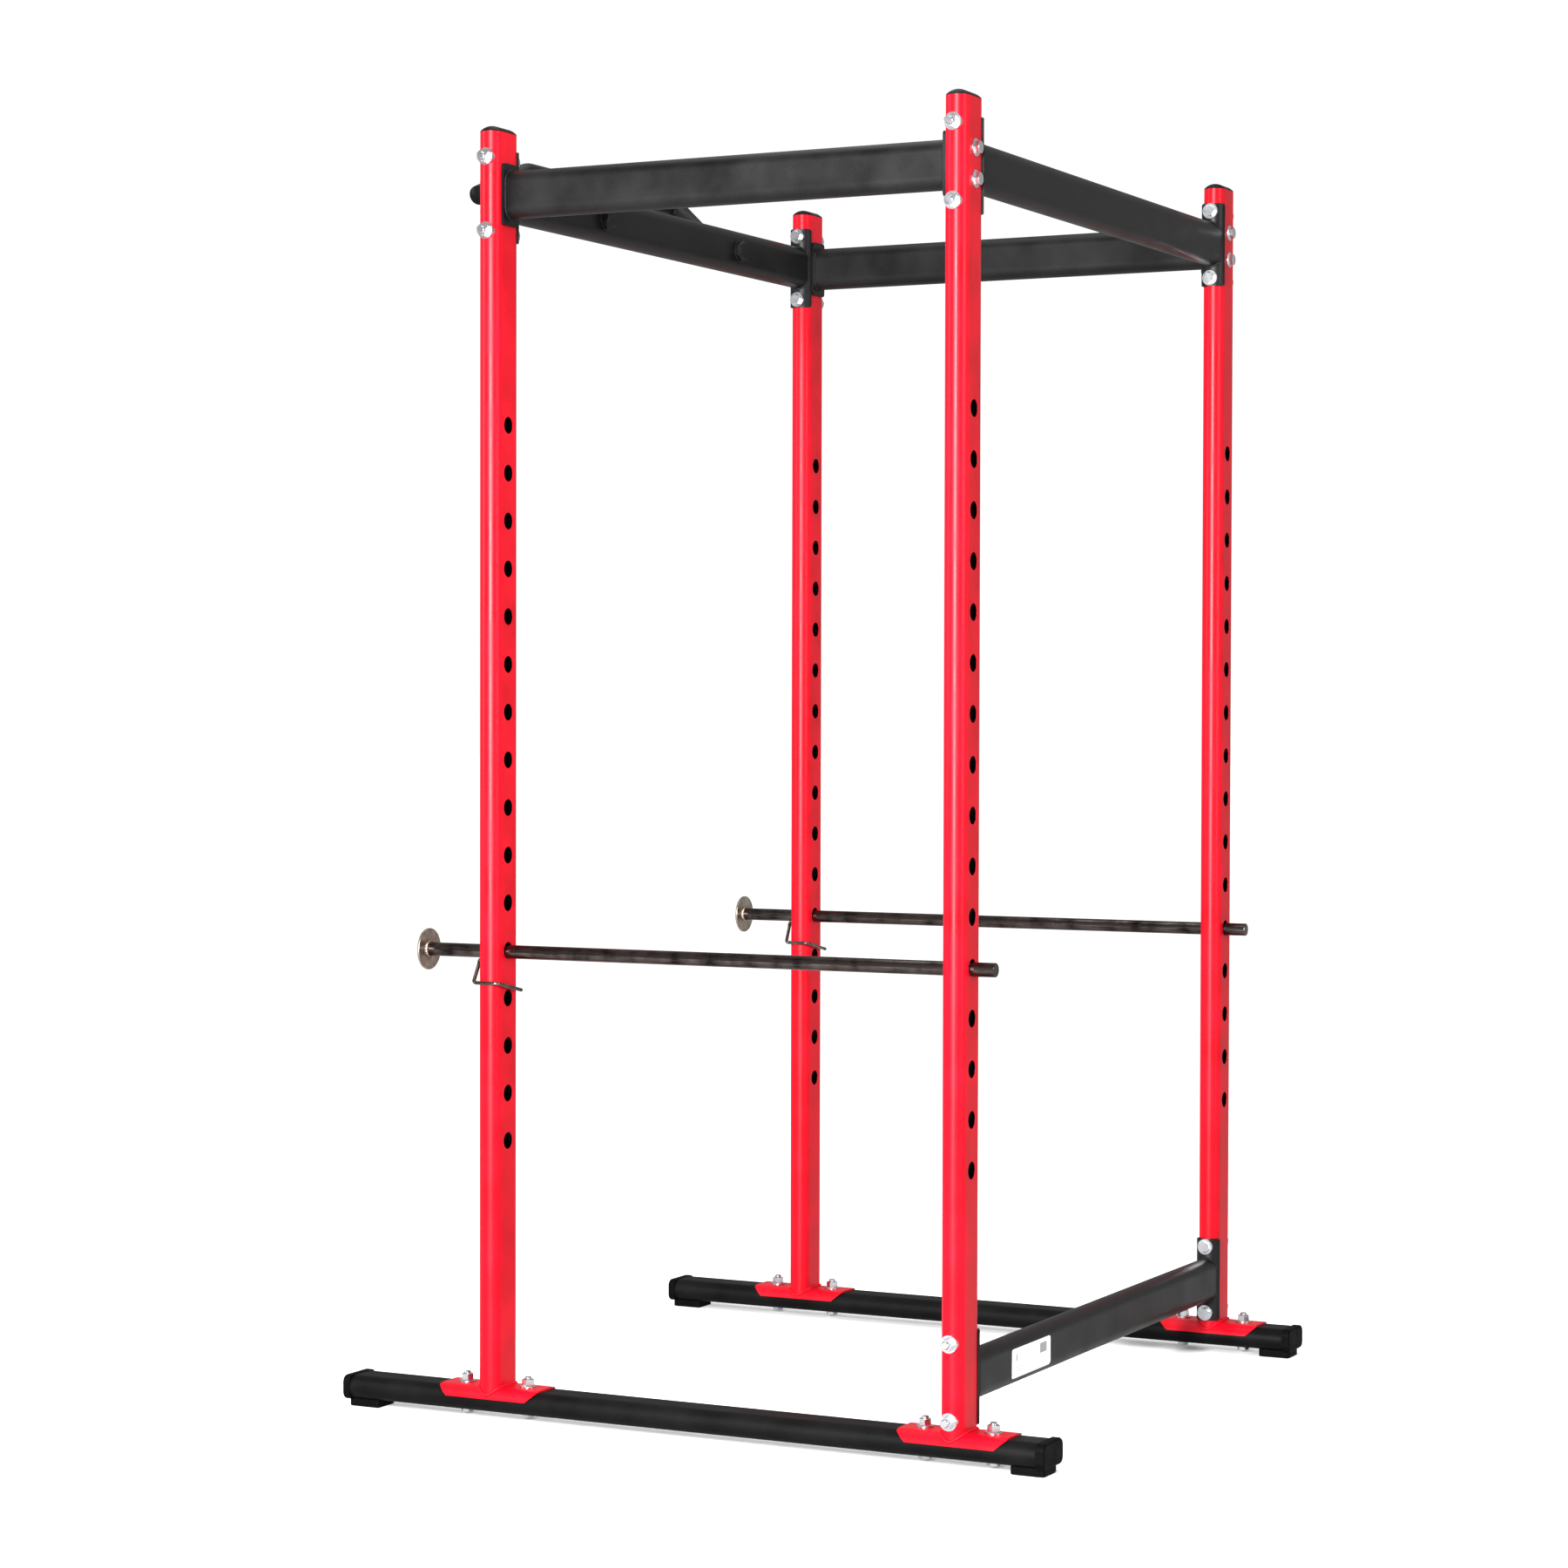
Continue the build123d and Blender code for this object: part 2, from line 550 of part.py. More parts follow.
for side, sign in sides.items():
    x = sign * x_side
    with BuildPart() as safety_rod:
        with BuildSketch(plane_y(x, y_bar_tail, z_bar)):
            Circle(BAR_D / 2)
        extrude(amount=BAR_LEN - DISC_T)
        chamfer(safety_rod.edges().sort_by(Axis.Y)[-1], BAR_CHAMFER)
    save(safety_rod.part, f"safety_rod_{side}")

    with BuildPart() as safety_disc:
        with BuildSketch(plane_y(x, y_disc + DISC_T, z_bar)):
            Circle(DISC_D / 2)
        extrude(amount=DISC_T)
        fillet(safety_disc.edges().filter_by(GeomType.CIRCLE), DISC_EDGE_R)
    save(safety_disc.part, f"safety_disc_{side}")

    with BuildPart() as safety_weld_ring:
        with BuildSketch(plane_x(x, y_disc + DISC_T, z_bar)):
            with BuildLine():
                Polyline(
                    (0, BAR_D / 2),
                    (COLLAR_L, BAR_D / 2),
                    (COLLAR_L, BAR_D / 2 + 0.8),
                    (0, COLLAR_D / 2),
                    close=True,
                )
            make_face()
        revolve(axis=Axis((x, y_disc, z_bar), (0, 1, 0)))
    save(safety_weld_ring.part, f"safety_weld_ring_{side}")

    x_hook_side = x + half_w + HOOK_SIDE
    with BuildPart() as safety_hook:
        with BuildLine() as hook_path:
            FilletPolyline(
                (x, y_hook_root, z_hook_root),
                (x_hook_side, y_hook_corner, z_hook_side),
                (x_hook_side, y_hook_tip, z_hook_side),
                (x - HOOK_TIP_REACH, y_hook_tip, z_hook_side - HOOK_TIP_DROP),
                radius=HOOK_BEND_R,
            )
        with BuildSketch(Plane(origin=hook_path.line @ 0, z_dir=hook_path.line % 0)):
            Circle(WIRE_D / 2)
        sweep()
    save(safety_hook.part, f"safety_hook_{side}")
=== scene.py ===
# %% [markdown]
# # Power cage
#
# A barbell cage in flat-oval steel tube: four red drilled uprights stand on two black base rails, black
# beams tie them together at the top and at the lower rear, a pull-up bar stands off the front beam, and two
# safety bars slide through the uprights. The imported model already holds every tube, plate, cap and foot at
# its real size, so this lesson keeps those shapes and spends its effort on what the solids leave out: weld
# beads, chamfered hexes and washers, and painted, plated and moulded surfaces with the right grain.
#
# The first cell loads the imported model. It stays as it is; pieces are added to it and given to its bodies.

import math

import bpy
from mathutils import Matrix, Vector


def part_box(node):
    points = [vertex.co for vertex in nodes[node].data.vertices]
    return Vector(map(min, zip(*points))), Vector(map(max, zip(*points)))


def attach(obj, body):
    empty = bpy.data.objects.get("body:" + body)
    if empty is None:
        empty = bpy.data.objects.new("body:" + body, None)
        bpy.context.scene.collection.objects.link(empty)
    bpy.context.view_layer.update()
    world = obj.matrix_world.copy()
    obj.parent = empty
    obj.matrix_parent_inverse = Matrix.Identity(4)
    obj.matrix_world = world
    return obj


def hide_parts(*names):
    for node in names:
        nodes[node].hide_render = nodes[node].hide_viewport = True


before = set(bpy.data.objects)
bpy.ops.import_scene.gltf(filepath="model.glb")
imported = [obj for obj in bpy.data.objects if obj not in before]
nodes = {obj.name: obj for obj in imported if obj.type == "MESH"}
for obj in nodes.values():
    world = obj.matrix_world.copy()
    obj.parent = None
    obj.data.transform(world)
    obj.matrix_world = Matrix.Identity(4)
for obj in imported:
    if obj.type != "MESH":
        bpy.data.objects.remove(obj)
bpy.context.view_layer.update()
scene = bpy.context.scene

MM = 0.001
FRAME_BODY = "frame"
SIDES = ("left", "right")
ENDS = ("front", "rear")
CROSS_BEAMS = ("front_beam", "rear_top_beam", "rear_low_beam")

# %% [markdown]
# ## Places read from the model
#
# Every piece below goes where a solid already is. Reading middles and sizes off the nodes' boxes keeps the
# two in step, so nothing here has to change when the cage is made wider or taller. The tube is a flat oval,
# 76 x 38 mm, whose short sides are half circles; most of the welds follow that outline.

# %% Measure the solids that the new pieces sit on
def middle(node):
    low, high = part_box(node)
    return Vector([(a + b) / 2 for a, b in zip(low, high)])


def extent(node):
    low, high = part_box(node)
    return Vector([b - a for a, b in zip(low, high)])


half_w = extent("upright_front_right").x / 2    # half the tube's long side
half_t = extent("upright_front_right").y / 2    # half its short side, and the radius of its round sides
arc_offset = half_w - half_t                    # tube's middle to the centre of each round side
x_side = middle("upright_front_right").x
y_post = {end: middle(f"upright_{end}_right").y for end in ENDS}
z_saddle_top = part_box("saddle_front_right")[1][2]
z_base_mid = middle("base_tube_right").z
z_top_beam = middle("front_beam").z
z_bar = middle("safety_rod_right").z
bar_r = extent("safety_rod_right").x / 2
print("uprights at x", round(x_side, 4), "and y", {end: round(y, 4) for end, y in y_post.items()})
print("tube", round(2 * half_w, 4), "x", round(2 * half_t, 4), "safety bars at z", round(z_bar, 4))

# %% [markdown]
# ## One helper for nodes, one for colours
#
# A material and a Geometry Nodes tree are both graphs, so one small function builds either: it adds a node,
# sets its properties, and fills its inputs with plain values or with links. Colours are written as the sRGB
# hex values that a colour chart gives; shader sockets take linear light, so one function converts them.

# %% Node and colour helpers
def add_node(tree, kind, inputs=None, **settings):
    node = tree.nodes.new(kind)
    for name, value in settings.items():
        setattr(node, name, value)
    for name, value in (inputs or {}).items():
        if isinstance(value, bpy.types.NodeSocket):
            tree.links.new(value, node.inputs[name])
        else:
            node.inputs[name].default_value = value
    return node


def colour(hex_text):
    channels = [int(hex_text[i:i + 2], 16) / 255 for i in (1, 3, 5)]
    return [c / 12.92 if c <= 0.04045 else ((c + 0.055) / 1.055) ** 2.4 for c in channels] + [1.0]


def new_material(name):
    material = bpy.data.materials.new(name)
    material.use_nodes = True
    tree = material.node_tree
    where = add_node(tree, "ShaderNodeTexCoord").outputs["Object"]
    return material, tree, tree.nodes["Principled BSDF"], where


print("mid grey #808080 as linear light:", round(colour("#808080")[0], 3))

# %% [markdown]
# ## Powder coat
#
# The frame is steel tube under baked polyester powder. Powder flows out into a skin with a fine pebbled
# grain and a longer, softer ripple under it, and its gloss wanders slightly where the coat is thicker. The
# grain could be a displaced mesh, but at under a millimetre it would need millions of faces on two metres
# of tube, so it is bump: one noise for the grain, one for the ripple. The real grain is about 0.4 mm and is
# too fine to show at this distance, so it is drawn at 1 mm on the red, and at 1.7 mm on the black, where
# sheen is all that the eye has to go by.
#
# Inside the tubes there is no powder, only bare steel. It is drawn near black, partly for that steel's own
# dark scale and partly as painted shade inside the tube, which is why the drilled holes look black.
# The tube's own outline tells the two apart: the distance from the nearest upright's middle line, measured
# as a flat oval, is negative inside.

# %% Powder coat, with bare steel and painted shade inside the uprights
def powder_coat(name, thick, thin, grain_mm, grain_depth_mm, roughness, specular, bare_and_shaded_inside=False):
    material, tree, shader, where = new_material(name)
    drift = add_node(tree, "ShaderNodeTexNoise", {"Vector": where, "Scale": 1 / (70 * MM), "Detail": 2.0})
    grain = add_node(tree, "ShaderNodeTexNoise",
                     {"Vector": where, "Scale": 1 / (grain_mm * MM), "Detail": 3.0, "Roughness": 0.6})
    ripple = add_node(tree, "ShaderNodeTexNoise", {"Vector": where, "Scale": 1 / (6 * MM), "Detail": 1.0})
    pale = add_node(tree, "ShaderNodeMath", {0: drift.outputs["Fac"], 1: grain.outputs["Fac"]},
                    operation="ADD")
    share = add_node(tree, "ShaderNodeMapRange",
                     {"Value": pale.outputs[0], "From Min": 0.75, "From Max": 1.25})
    coat = add_node(tree, "ShaderNodeMix", {0: share.outputs[0], 6: colour(thick), 7: colour(thin)},
                    data_type="RGBA")
    gloss = add_node(tree, "ShaderNodeMapRange", {
        "Value": drift.outputs["Fac"], "From Min": 0.3, "From Max": 0.7,
        "To Min": roughness - 0.05, "To Max": roughness + 0.06})
    skin = add_node(tree, "ShaderNodeBump",
                    {"Height": ripple.outputs["Fac"], "Distance": 0.12 * MM, "Strength": 0.5})
    pebble = add_node(tree, "ShaderNodeBump", {
        "Height": grain.outputs["Fac"], "Distance": grain_depth_mm * MM, "Strength": 0.8,
        "Normal": skin.outputs[0]})
    tree.links.new(pebble.outputs[0], shader.inputs["Normal"])
    tree.links.new(gloss.outputs[0], shader.inputs["Roughness"])
    shader.inputs["Specular IOR Level"].default_value = specular
    if not bare_and_shaded_inside:
        tree.links.new(coat.outputs[2], shader.inputs["Base Color"])
        return material

    axis = add_node(tree, "ShaderNodeSeparateXYZ", {0: where})
    # Distance from the nearest upright's middle, along X and along Y, by folding the cage onto one upright.
    fold_x = add_node(tree, "ShaderNodeMath", {0: axis.outputs["X"]}, operation="ABSOLUTE")
    off_x = add_node(tree, "ShaderNodeMath", {0: fold_x.outputs[0], 1: x_side}, operation="SUBTRACT")
    size_x = add_node(tree, "ShaderNodeMath", {0: off_x.outputs[0]}, operation="ABSOLUTE")
    past_flat = add_node(tree, "ShaderNodeMath", {0: size_x.outputs[0], 1: arc_offset}, operation="SUBTRACT")
    round_x = add_node(tree, "ShaderNodeMath", {0: past_flat.outputs[0], 1: 0.0}, operation="MAXIMUM")
    y_middle = (y_post["front"] + y_post["rear"]) / 2
    from_middle = add_node(tree, "ShaderNodeMath", {0: axis.outputs["Y"], 1: y_middle}, operation="SUBTRACT")
    fold_y = add_node(tree, "ShaderNodeMath", {0: from_middle.outputs[0]}, operation="ABSOLUTE")
    off_y = add_node(tree, "ShaderNodeMath", {0: fold_y.outputs[0], 1: y_post["rear"] - y_middle},
                     operation="SUBTRACT")
    flat_oval = add_node(tree, "ShaderNodeCombineXYZ", {"X": round_x.outputs[0], "Y": off_y.outputs[0]})
    reach = add_node(tree, "ShaderNodeVectorMath", {0: flat_oval.outputs[0]}, operation="LENGTH")
    # The coat wraps 0.8 mm round a hole's edge, then stops.
    inside = add_node(tree, "ShaderNodeMath", {0: reach.outputs["Value"], 1: half_t - 0.8 * MM},
                      operation="LESS_THAN")
    # Near black inside the tube: bare steel, darkened further as painted shade.
    final = add_node(tree, "ShaderNodeMix", {0: inside.outputs[0], 6: coat.outputs[2], 7: colour("#020202")},
                     data_type="RGBA")
    tree.links.new(final.outputs[2], shader.inputs["Base Color"])
    return material


red_coat = powder_coat("polyester_powder_coat_red", "#9E0211", "#BE031B", 1.0, 0.035, 0.35, 0.15,
                       bare_and_shaded_inside=True)
red_weld = powder_coat("powder_coat_red_over_weld", "#980210", "#B60319", 1.0, 0.04, 0.34, 0.15)
black_coat = powder_coat("polyester_powder_coat_black", "#020202", "#121213", 1.7, 0.18, 0.42, 0.24)
# The rails have the same black coat as the beams, drawn darker and with less sheen: painted shade for where
# they lie by the floor.
rail_shaded_coat = powder_coat("polyester_powder_coat_black_shaded", "#020202", "#0C0C0D", 1.7, 0.18, 0.50, 0.10)
print("paints:", red_coat.name, red_weld.name, black_coat.name, rail_shaded_coat.name)

# %% [markdown]
# ## Plated steel
#
# The bolts are bright zinc: thin, blue-white, slightly uneven in shine because the plate grows faster on
# edges. The safety bars are drawn and ground steel under dark nickel, so fine scratches run along the bar.
# A straight bar is easy: noise stretched sixtyfold along its length. The stop disc was faced on a lathe, so
# its scratches are rings, made by noise that reads only the distance from the bar's middle.

# %% Zinc plate
def zinc_plate(name):
    material, tree, shader, where = new_material(name)
    cloud = add_node(tree, "ShaderNodeTexNoise", {"Vector": where, "Scale": 1 / (16 * MM), "Detail": 2.0})
    tint = add_node(tree, "ShaderNodeMix",
                    {0: cloud.outputs["Fac"], 6: colour("#EEF0F3"), 7: colour("#C8CCD2")}, data_type="RGBA")
    shine = add_node(tree, "ShaderNodeMapRange", {
        "Value": cloud.outputs["Fac"], "From Min": 0.3, "From Max": 0.7, "To Min": 0.20, "To Max": 0.28})
    pits = add_node(tree, "ShaderNodeTexNoise", {"Vector": where, "Scale": 1 / (0.8 * MM), "Detail": 2.0})
    bump = add_node(tree, "ShaderNodeBump",
                    {"Height": pits.outputs["Fac"], "Distance": 0.003 * MM, "Strength": 0.4})
    tree.links.new(tint.outputs[2], shader.inputs["Base Color"])
    tree.links.new(shine.outputs[0], shader.inputs["Roughness"])
    tree.links.new(bump.outputs[0], shader.inputs["Normal"])
    shader.inputs["Metallic"].default_value = 1.0
    return material


zinc = zinc_plate("bright_zinc_plate")
print("plate:", zinc.name)

# %% Dark nickel on drawn bar, and on bent wire
def drawn_steel(name, dark, pale, stretch_y, roughness):
    material, tree, shader, where = new_material(name)
    lengthwise = add_node(tree, "ShaderNodeMapping", {"Vector": where, "Scale": (1.0, 1.0 / stretch_y, 1.0)})
    scratch = add_node(tree, "ShaderNodeTexNoise", {
        "Vector": lengthwise.outputs[0], "Scale": 1 / (0.9 * MM), "Detail": 4.0, "Roughness": 0.65})
    patch = add_node(tree, "ShaderNodeTexNoise", {"Vector": where, "Scale": 1 / (30 * MM), "Detail": 2.0})
    both = add_node(tree, "ShaderNodeMath", {0: scratch.outputs["Fac"], 1: patch.outputs["Fac"]},
                    operation="ADD")
    share = add_node(tree, "ShaderNodeMapRange",
                     {"Value": both.outputs[0], "From Min": 0.78, "From Max": 1.22})
    tint = add_node(tree, "ShaderNodeMix", {0: share.outputs[0], 6: colour(dark), 7: colour(pale)},
                    data_type="RGBA")
    shine = add_node(tree, "ShaderNodeMapRange", {
        "Value": both.outputs[0], "From Min": 0.8, "From Max": 1.2,
        "To Min": roughness + 0.1, "To Max": roughness - 0.06})
    bump = add_node(tree, "ShaderNodeBump",
                    {"Height": scratch.outputs["Fac"], "Distance": 0.04 * MM, "Strength": 0.5})
    tree.links.new(tint.outputs[2], shader.inputs["Base Color"])
    tree.links.new(shine.outputs[0], shader.inputs["Roughness"])
    tree.links.new(bump.outputs[0], shader.inputs["Normal"])
    shader.inputs["Metallic"].default_value = 1.0
    return material


bar_nickel = drawn_steel("dark_nickel_on_ground_bar", "#1F1B1A", "#655C59", 60.0, 0.22)
wire_nickel = drawn_steel("dark_nickel_on_spring_wire", "#3A3430", "#8C8278", 6.0, 0.24)
print("bar and wire:", bar_nickel.name, wire_nickel.name)

# %% Turned nickel, ringed round the bar's middle
def turned_nickel(name, dark, pale):
    material, tree, shader, where = new_material(name)
    axis = add_node(tree, "ShaderNodeSeparateXYZ", {0: where})
    fold_x = add_node(tree, "ShaderNodeMath", {0: axis.outputs["X"]}, operation="ABSOLUTE")
    off_x = add_node(tree, "ShaderNodeMath", {0: fold_x.outputs[0], 1: x_side}, operation="SUBTRACT")
    off_z = add_node(tree, "ShaderNodeMath", {0: axis.outputs["Z"], 1: z_bar}, operation="SUBTRACT")
    flat = add_node(tree, "ShaderNodeCombineXYZ", {"X": off_x.outputs[0], "Y": off_z.outputs[0]})
    reach = add_node(tree, "ShaderNodeVectorMath", {0: flat.outputs[0]}, operation="LENGTH")
    rings = add_node(tree, "ShaderNodeTexNoise",
                     {"W": reach.outputs["Value"], "Scale": 1 / (0.9 * MM), "Detail": 3.0},
                     noise_dimensions="1D")
    haze = add_node(tree, "ShaderNodeTexNoise", {"Vector": where, "Scale": 1 / (14 * MM), "Detail": 3.0})
    both = add_node(tree, "ShaderNodeMath", {0: rings.outputs["Fac"], 1: haze.outputs["Fac"]},
                    operation="ADD")
    share = add_node(tree, "ShaderNodeMapRange",
                     {"Value": both.outputs[0], "From Min": 0.75, "From Max": 1.25})
    tint = add_node(tree, "ShaderNodeMix", {0: share.outputs[0], 6: colour(dark), 7: colour(pale)},
                    data_type="RGBA")
    shine = add_node(tree, "ShaderNodeMapRange",
                     {"Value": haze.outputs["Fac"], "To Min": 0.26, "To Max": 0.44})
    bump = add_node(tree, "ShaderNodeBump",
                    {"Height": rings.outputs["Fac"], "Distance": 0.05 * MM, "Strength": 0.6})
    tree.links.new(tint.outputs[2], shader.inputs["Base Color"])
    tree.links.new(shine.outputs[0], shader.inputs["Roughness"])
    tree.links.new(bump.outputs[0], shader.inputs["Normal"])
    shader.inputs["Metallic"].default_value = 1.0
    return material


disc_nickel = turned_nickel("nickel_on_turned_disc", "#84796C", "#C4B8AA")
print("disc:", disc_nickel.name)

# %% [markdown]
# ## Moulded plastic and rubber
#
# The domed caps in the uprights are moulded polypropylene with a fine spark-eroded texture; the rail ends
# are a hard rubber whose surface is duller and slightly dusty. Both are one noise in the colour and one in
# the bump. They differ in how rough and how glossy they are, and in the size and depth of that texture.

# %% Moulded black finishes
def moulded_black(name, dark, pale, texture_mm, depth_mm, roughness, specular):
    material, tree, shader, where = new_material(name)
    mottle = add_node(tree, "ShaderNodeTexNoise", {"Vector": where, "Scale": 1 / (18 * MM), "Detail": 4.0})
    texture = add_node(tree, "ShaderNodeTexNoise",
                       {"Vector": where, "Scale": 1 / (texture_mm * MM), "Detail": 2.0, "Roughness": 0.7})
    tint = add_node(tree, "ShaderNodeMix", {0: mottle.outputs["Fac"], 6: colour(dark), 7: colour(pale)},
                    data_type="RGBA")
    dull = add_node(tree, "ShaderNodeMapRange", {
        "Value": mottle.outputs["Fac"], "From Min": 0.3, "From Max": 0.7,
        "To Min": roughness - 0.06, "To Max": roughness + 0.08})
    bump = add_node(tree, "ShaderNodeBump",
                    {"Height": texture.outputs["Fac"], "Distance": depth_mm * MM, "Strength": 0.7})
    tree.links.new(tint.outputs[2], shader.inputs["Base Color"])
    tree.links.new(dull.outputs[0], shader.inputs["Roughness"])
    shader.inputs["Specular IOR Level"].default_value = specular
    tree.links.new(bump.outputs[0], shader.inputs["Normal"])
    return material


cap_plastic = moulded_black("moulded_polypropylene_black", "#030303", "#0B0B0C", 0.9, 0.04, 0.34, 0.08)
foot_rubber = moulded_black("moulded_hard_rubber_black", "#020202", "#090909", 1.2, 0.08, 0.55, 0.04)
print("mouldings:", cap_plastic.name, foot_rubber.name)

# %% [markdown]
# ## The label
#
# A white self-adhesive film on the low rear beam. The real one is printed; this one keeps only the greys of
# a generic layout, rules and blocks with no writing. A picture would need a file, so each mark is a box
# tested in the shader: inside it on X and inside it on Z.

# %% Label film with plain printed marks
LABEL_MARKS = [  # left, right, bottom, top as shares of the label, and the grey
    (0.72, 0.90, 0.52, 0.86, "#8C8C8E"),
    (0.10, 0.14, 0.56, 0.80, "#9A9A9C"),
    (0.36, 0.64, 0.80, 0.83, "#C2C2C4"),
    (0.36, 0.62, 0.68, 0.71, "#C2C2C4"),
    (0.36, 0.64, 0.56, 0.59, "#C2C2C4"),
    (0.36, 0.58, 0.44, 0.47, "#C2C2C4"),
    (0.10, 0.28, 0.34, 0.37, "#B4B4B6"),
    (0.10, 0.28, 0.22, 0.25, "#B4B4B6"),
    (0.72, 0.90, 0.38, 0.41, "#C2C2C4"),
]


def printed_film(name, node):
    low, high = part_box(node)
    material, tree, shader, where = new_material(name)
    axis = add_node(tree, "ShaderNodeSeparateXYZ", {0: where})
    # A reader stands behind the cage, so the label's left is on +X.
    across = add_node(tree, "ShaderNodeMapRange",
                      {"Value": axis.outputs["X"], "From Min": high[0], "From Max": low[0]})
    up = add_node(tree, "ShaderNodeMapRange",
                  {"Value": axis.outputs["Z"], "From Min": low[2], "From Max": high[2]})
    fibre = add_node(tree, "ShaderNodeTexNoise", {"Vector": where, "Scale": 1 / (2.5 * MM), "Detail": 3.0})
    sheet = add_node(tree, "ShaderNodeMix",
                     {0: fibre.outputs["Fac"], 6: colour("#E9E9E6"), 7: colour("#F6F6F4")}, data_type="RGBA")
    printed = sheet.outputs[2]
    for left, right, bottom, top, grey in LABEL_MARKS:
        tests = [("GREATER_THAN", across, left), ("LESS_THAN", across, right),
                 ("GREATER_THAN", up, bottom), ("LESS_THAN", up, top)]
        covered = None
        for operation, value, limit in tests:
            test = add_node(tree, "ShaderNodeMath", {0: value.outputs[0], 1: limit},
                            operation=operation).outputs[0]
            covered = test if covered is None else add_node(
                tree, "ShaderNodeMath", {0: covered, 1: test}, operation="MULTIPLY").outputs[0]
        printed = add_node(tree, "ShaderNodeMix", {0: covered, 6: printed, 7: colour(grey)},
                           data_type="RGBA").outputs[2]
    bump = add_node(tree, "ShaderNodeBump",
                    {"Height": fibre.outputs["Fac"], "Distance": 0.03 * MM, "Strength": 0.4})
    tree.links.new(printed, shader.inputs["Base Color"])
    tree.links.new(bump.outputs[0], shader.inputs["Normal"])
    shader.inputs["Roughness"].default_value = 0.38
    return material


label_film = printed_film("white_vinyl_film", "label_plate")
print("label marks:", len(LABEL_MARKS))

# %% [markdown]
# ## Finishes for the solids that stay
#
# Tubes, plates, caps, feet, bars and hooks are right as they are, so each only gets its finish. A node's
# name says what it is, so a short list of name beginnings sorts them all, and anything left over would be
# reported.

# %% Put the finishes on the solids
FINISH_OF = {
    "upright_": red_coat,
    "saddle_front_": red_coat,
    "saddle_rear_": red_coat,
    "post_cap_": cap_plastic,
    "foot_": foot_rubber,
    "base_tube_": rail_shaded_coat,
    "side_beam_left": black_coat,
    "side_beam_right": black_coat,
    "side_beam_plates_": black_coat,
    "pullup_bar": black_coat,
    "pullup_arm": black_coat,
    "pullup_washers": black_coat,
    "pullup_bolts": black_coat,
    "pullup_plugs": cap_plastic,
    "safety_rod_": bar_nickel,
    "safety_hook_": wire_nickel,
    "safety_disc_": disc_nickel,
    "safety_weld_ring_": disc_nickel,
    "label_plate": label_film,
}
for name, node in nodes.items():
    if any(name.endswith(end) for end in ("_bolts", "_nuts", "_washers")) and not name.startswith("pullup"):
        finish = zinc
    elif name.startswith(CROSS_BEAMS):
        finish = black_coat
    else:
        finish = next((f for start, f in FINISH_OF.items() if name.startswith(start)), None)
    if finish is None:
        print("no finish for", name)
        continue
    for slot in node.material_slots:
        slot.material = finish
print("finished solids:", len(nodes))

# %% [markdown]
# ## Bolts, nuts and washers
#
# A real hex head isn't a plain prism: the bar it was cut from was chamfered on a lathe at 30 degrees, so a
# shallow cone meets the six flats in six arcs. Cutting a cone from a prism with a boolean gives that shape
# but a messy mesh. Here the ring of points goes round at the hexagon's own radius, and each point's height
# is the cone's at that radius, which gives the arcs for nothing.
#
# The forms are made once, standing on the origin with +Z up, and a Geometry Nodes tree puts them on every
# seat.

# %% Forms of the fasteners
STEPS = 48


def ring_mesh(name, rings, closed_loop=False):
    """Skins rings of points in order; ends that aren't joined up are closed with a fan."""
    vertices = [point for ring in rings for point in ring]
    faces = []
    count = len(rings)
    for i in range(count if closed_loop else count - 1):
        a, b = i * STEPS, ((i + 1) % count) * STEPS
        for j in range(STEPS):
            k = (j + 1) % STEPS
            faces.append((a + j, a + k, b + k, b + j))
    if not closed_loop:
        for ring, order in ((0, -1), (count - 1, 1)):
            centre = len(vertices)
            vertices.append((0.0, 0.0, rings[ring][0][2]))
            for j in range(STEPS):
                edge = (ring * STEPS + j, ring * STEPS + (j + 1) % STEPS)
                faces.append((*edge[::order], centre))
    mesh = bpy.data.meshes.new(name)
    mesh.from_pydata(vertices, [], faces)
    mesh.shade_smooth()
    mesh.set_sharp_from_angle(angle=math.radians(28))
    return mesh


def round_ring(radius, height):
    angles = [math.tau * j / STEPS for j in range(STEPS)]
    return [(radius * math.cos(a), radius * math.sin(a), height) for a in angles]


def hex_ring(apothem, face_r, height, chamfer):
    """Ring on the hexagon, lowered (chamfer 1) or raised (chamfer -1) to the 30 degree cone from face_r."""
    points = []
    for j in range(STEPS):
        angle = math.tau * j / STEPS
        radius = apothem / math.cos(angle % (math.pi / 3) - math.pi / 6)
        points.append((radius * math.cos(angle), radius * math.sin(angle),
                       height - chamfer * (radius - face_r) * math.tan(math.pi / 6)))
    return points


def bolt_form(name, across, head_h, shank_d, length, pitch=1.75 * MM):
    """Head below the seat at z 0, plain shank above it, and thread on the last stretch."""
    apothem = across / 2
    face_r = 0.95 * apothem
    radius = shank_d / 2
    rings = [round_ring(face_r, -head_h), hex_ring(apothem, face_r, -head_h, -1), hex_ring(apothem, 0, 0, 0),
             round_ring(radius, 0)]
    threads = 8
    start = length - threads * pitch
    rings.append(round_ring(radius, start))
    for turn in range(threads - 1):
        rings.append(round_ring(radius - 0.85 * MM, start + (turn + 0.5) * pitch))
        rings.append(round_ring(radius, start + (turn + 1) * pitch))
    rings.append(round_ring(radius - 1.1 * MM, length))
    return ring_mesh(name, rings)


def nut_form(name, across, height, bore_d):
    apothem = across / 2
    face_r = 0.95 * apothem
    bore = bore_d / 2
    rings = [round_ring(bore, 0.6 * MM), round_ring(bore + 0.6 * MM, 0), round_ring(face_r, 0),
             hex_ring(apothem, face_r, 0, -1), hex_ring(apothem, face_r, height, 1),
             round_ring(face_r, height), round_ring(bore + 0.6 * MM, height),
             round_ring(bore, height - 0.6 * MM)]
    return ring_mesh(name, rings, closed_loop=True)


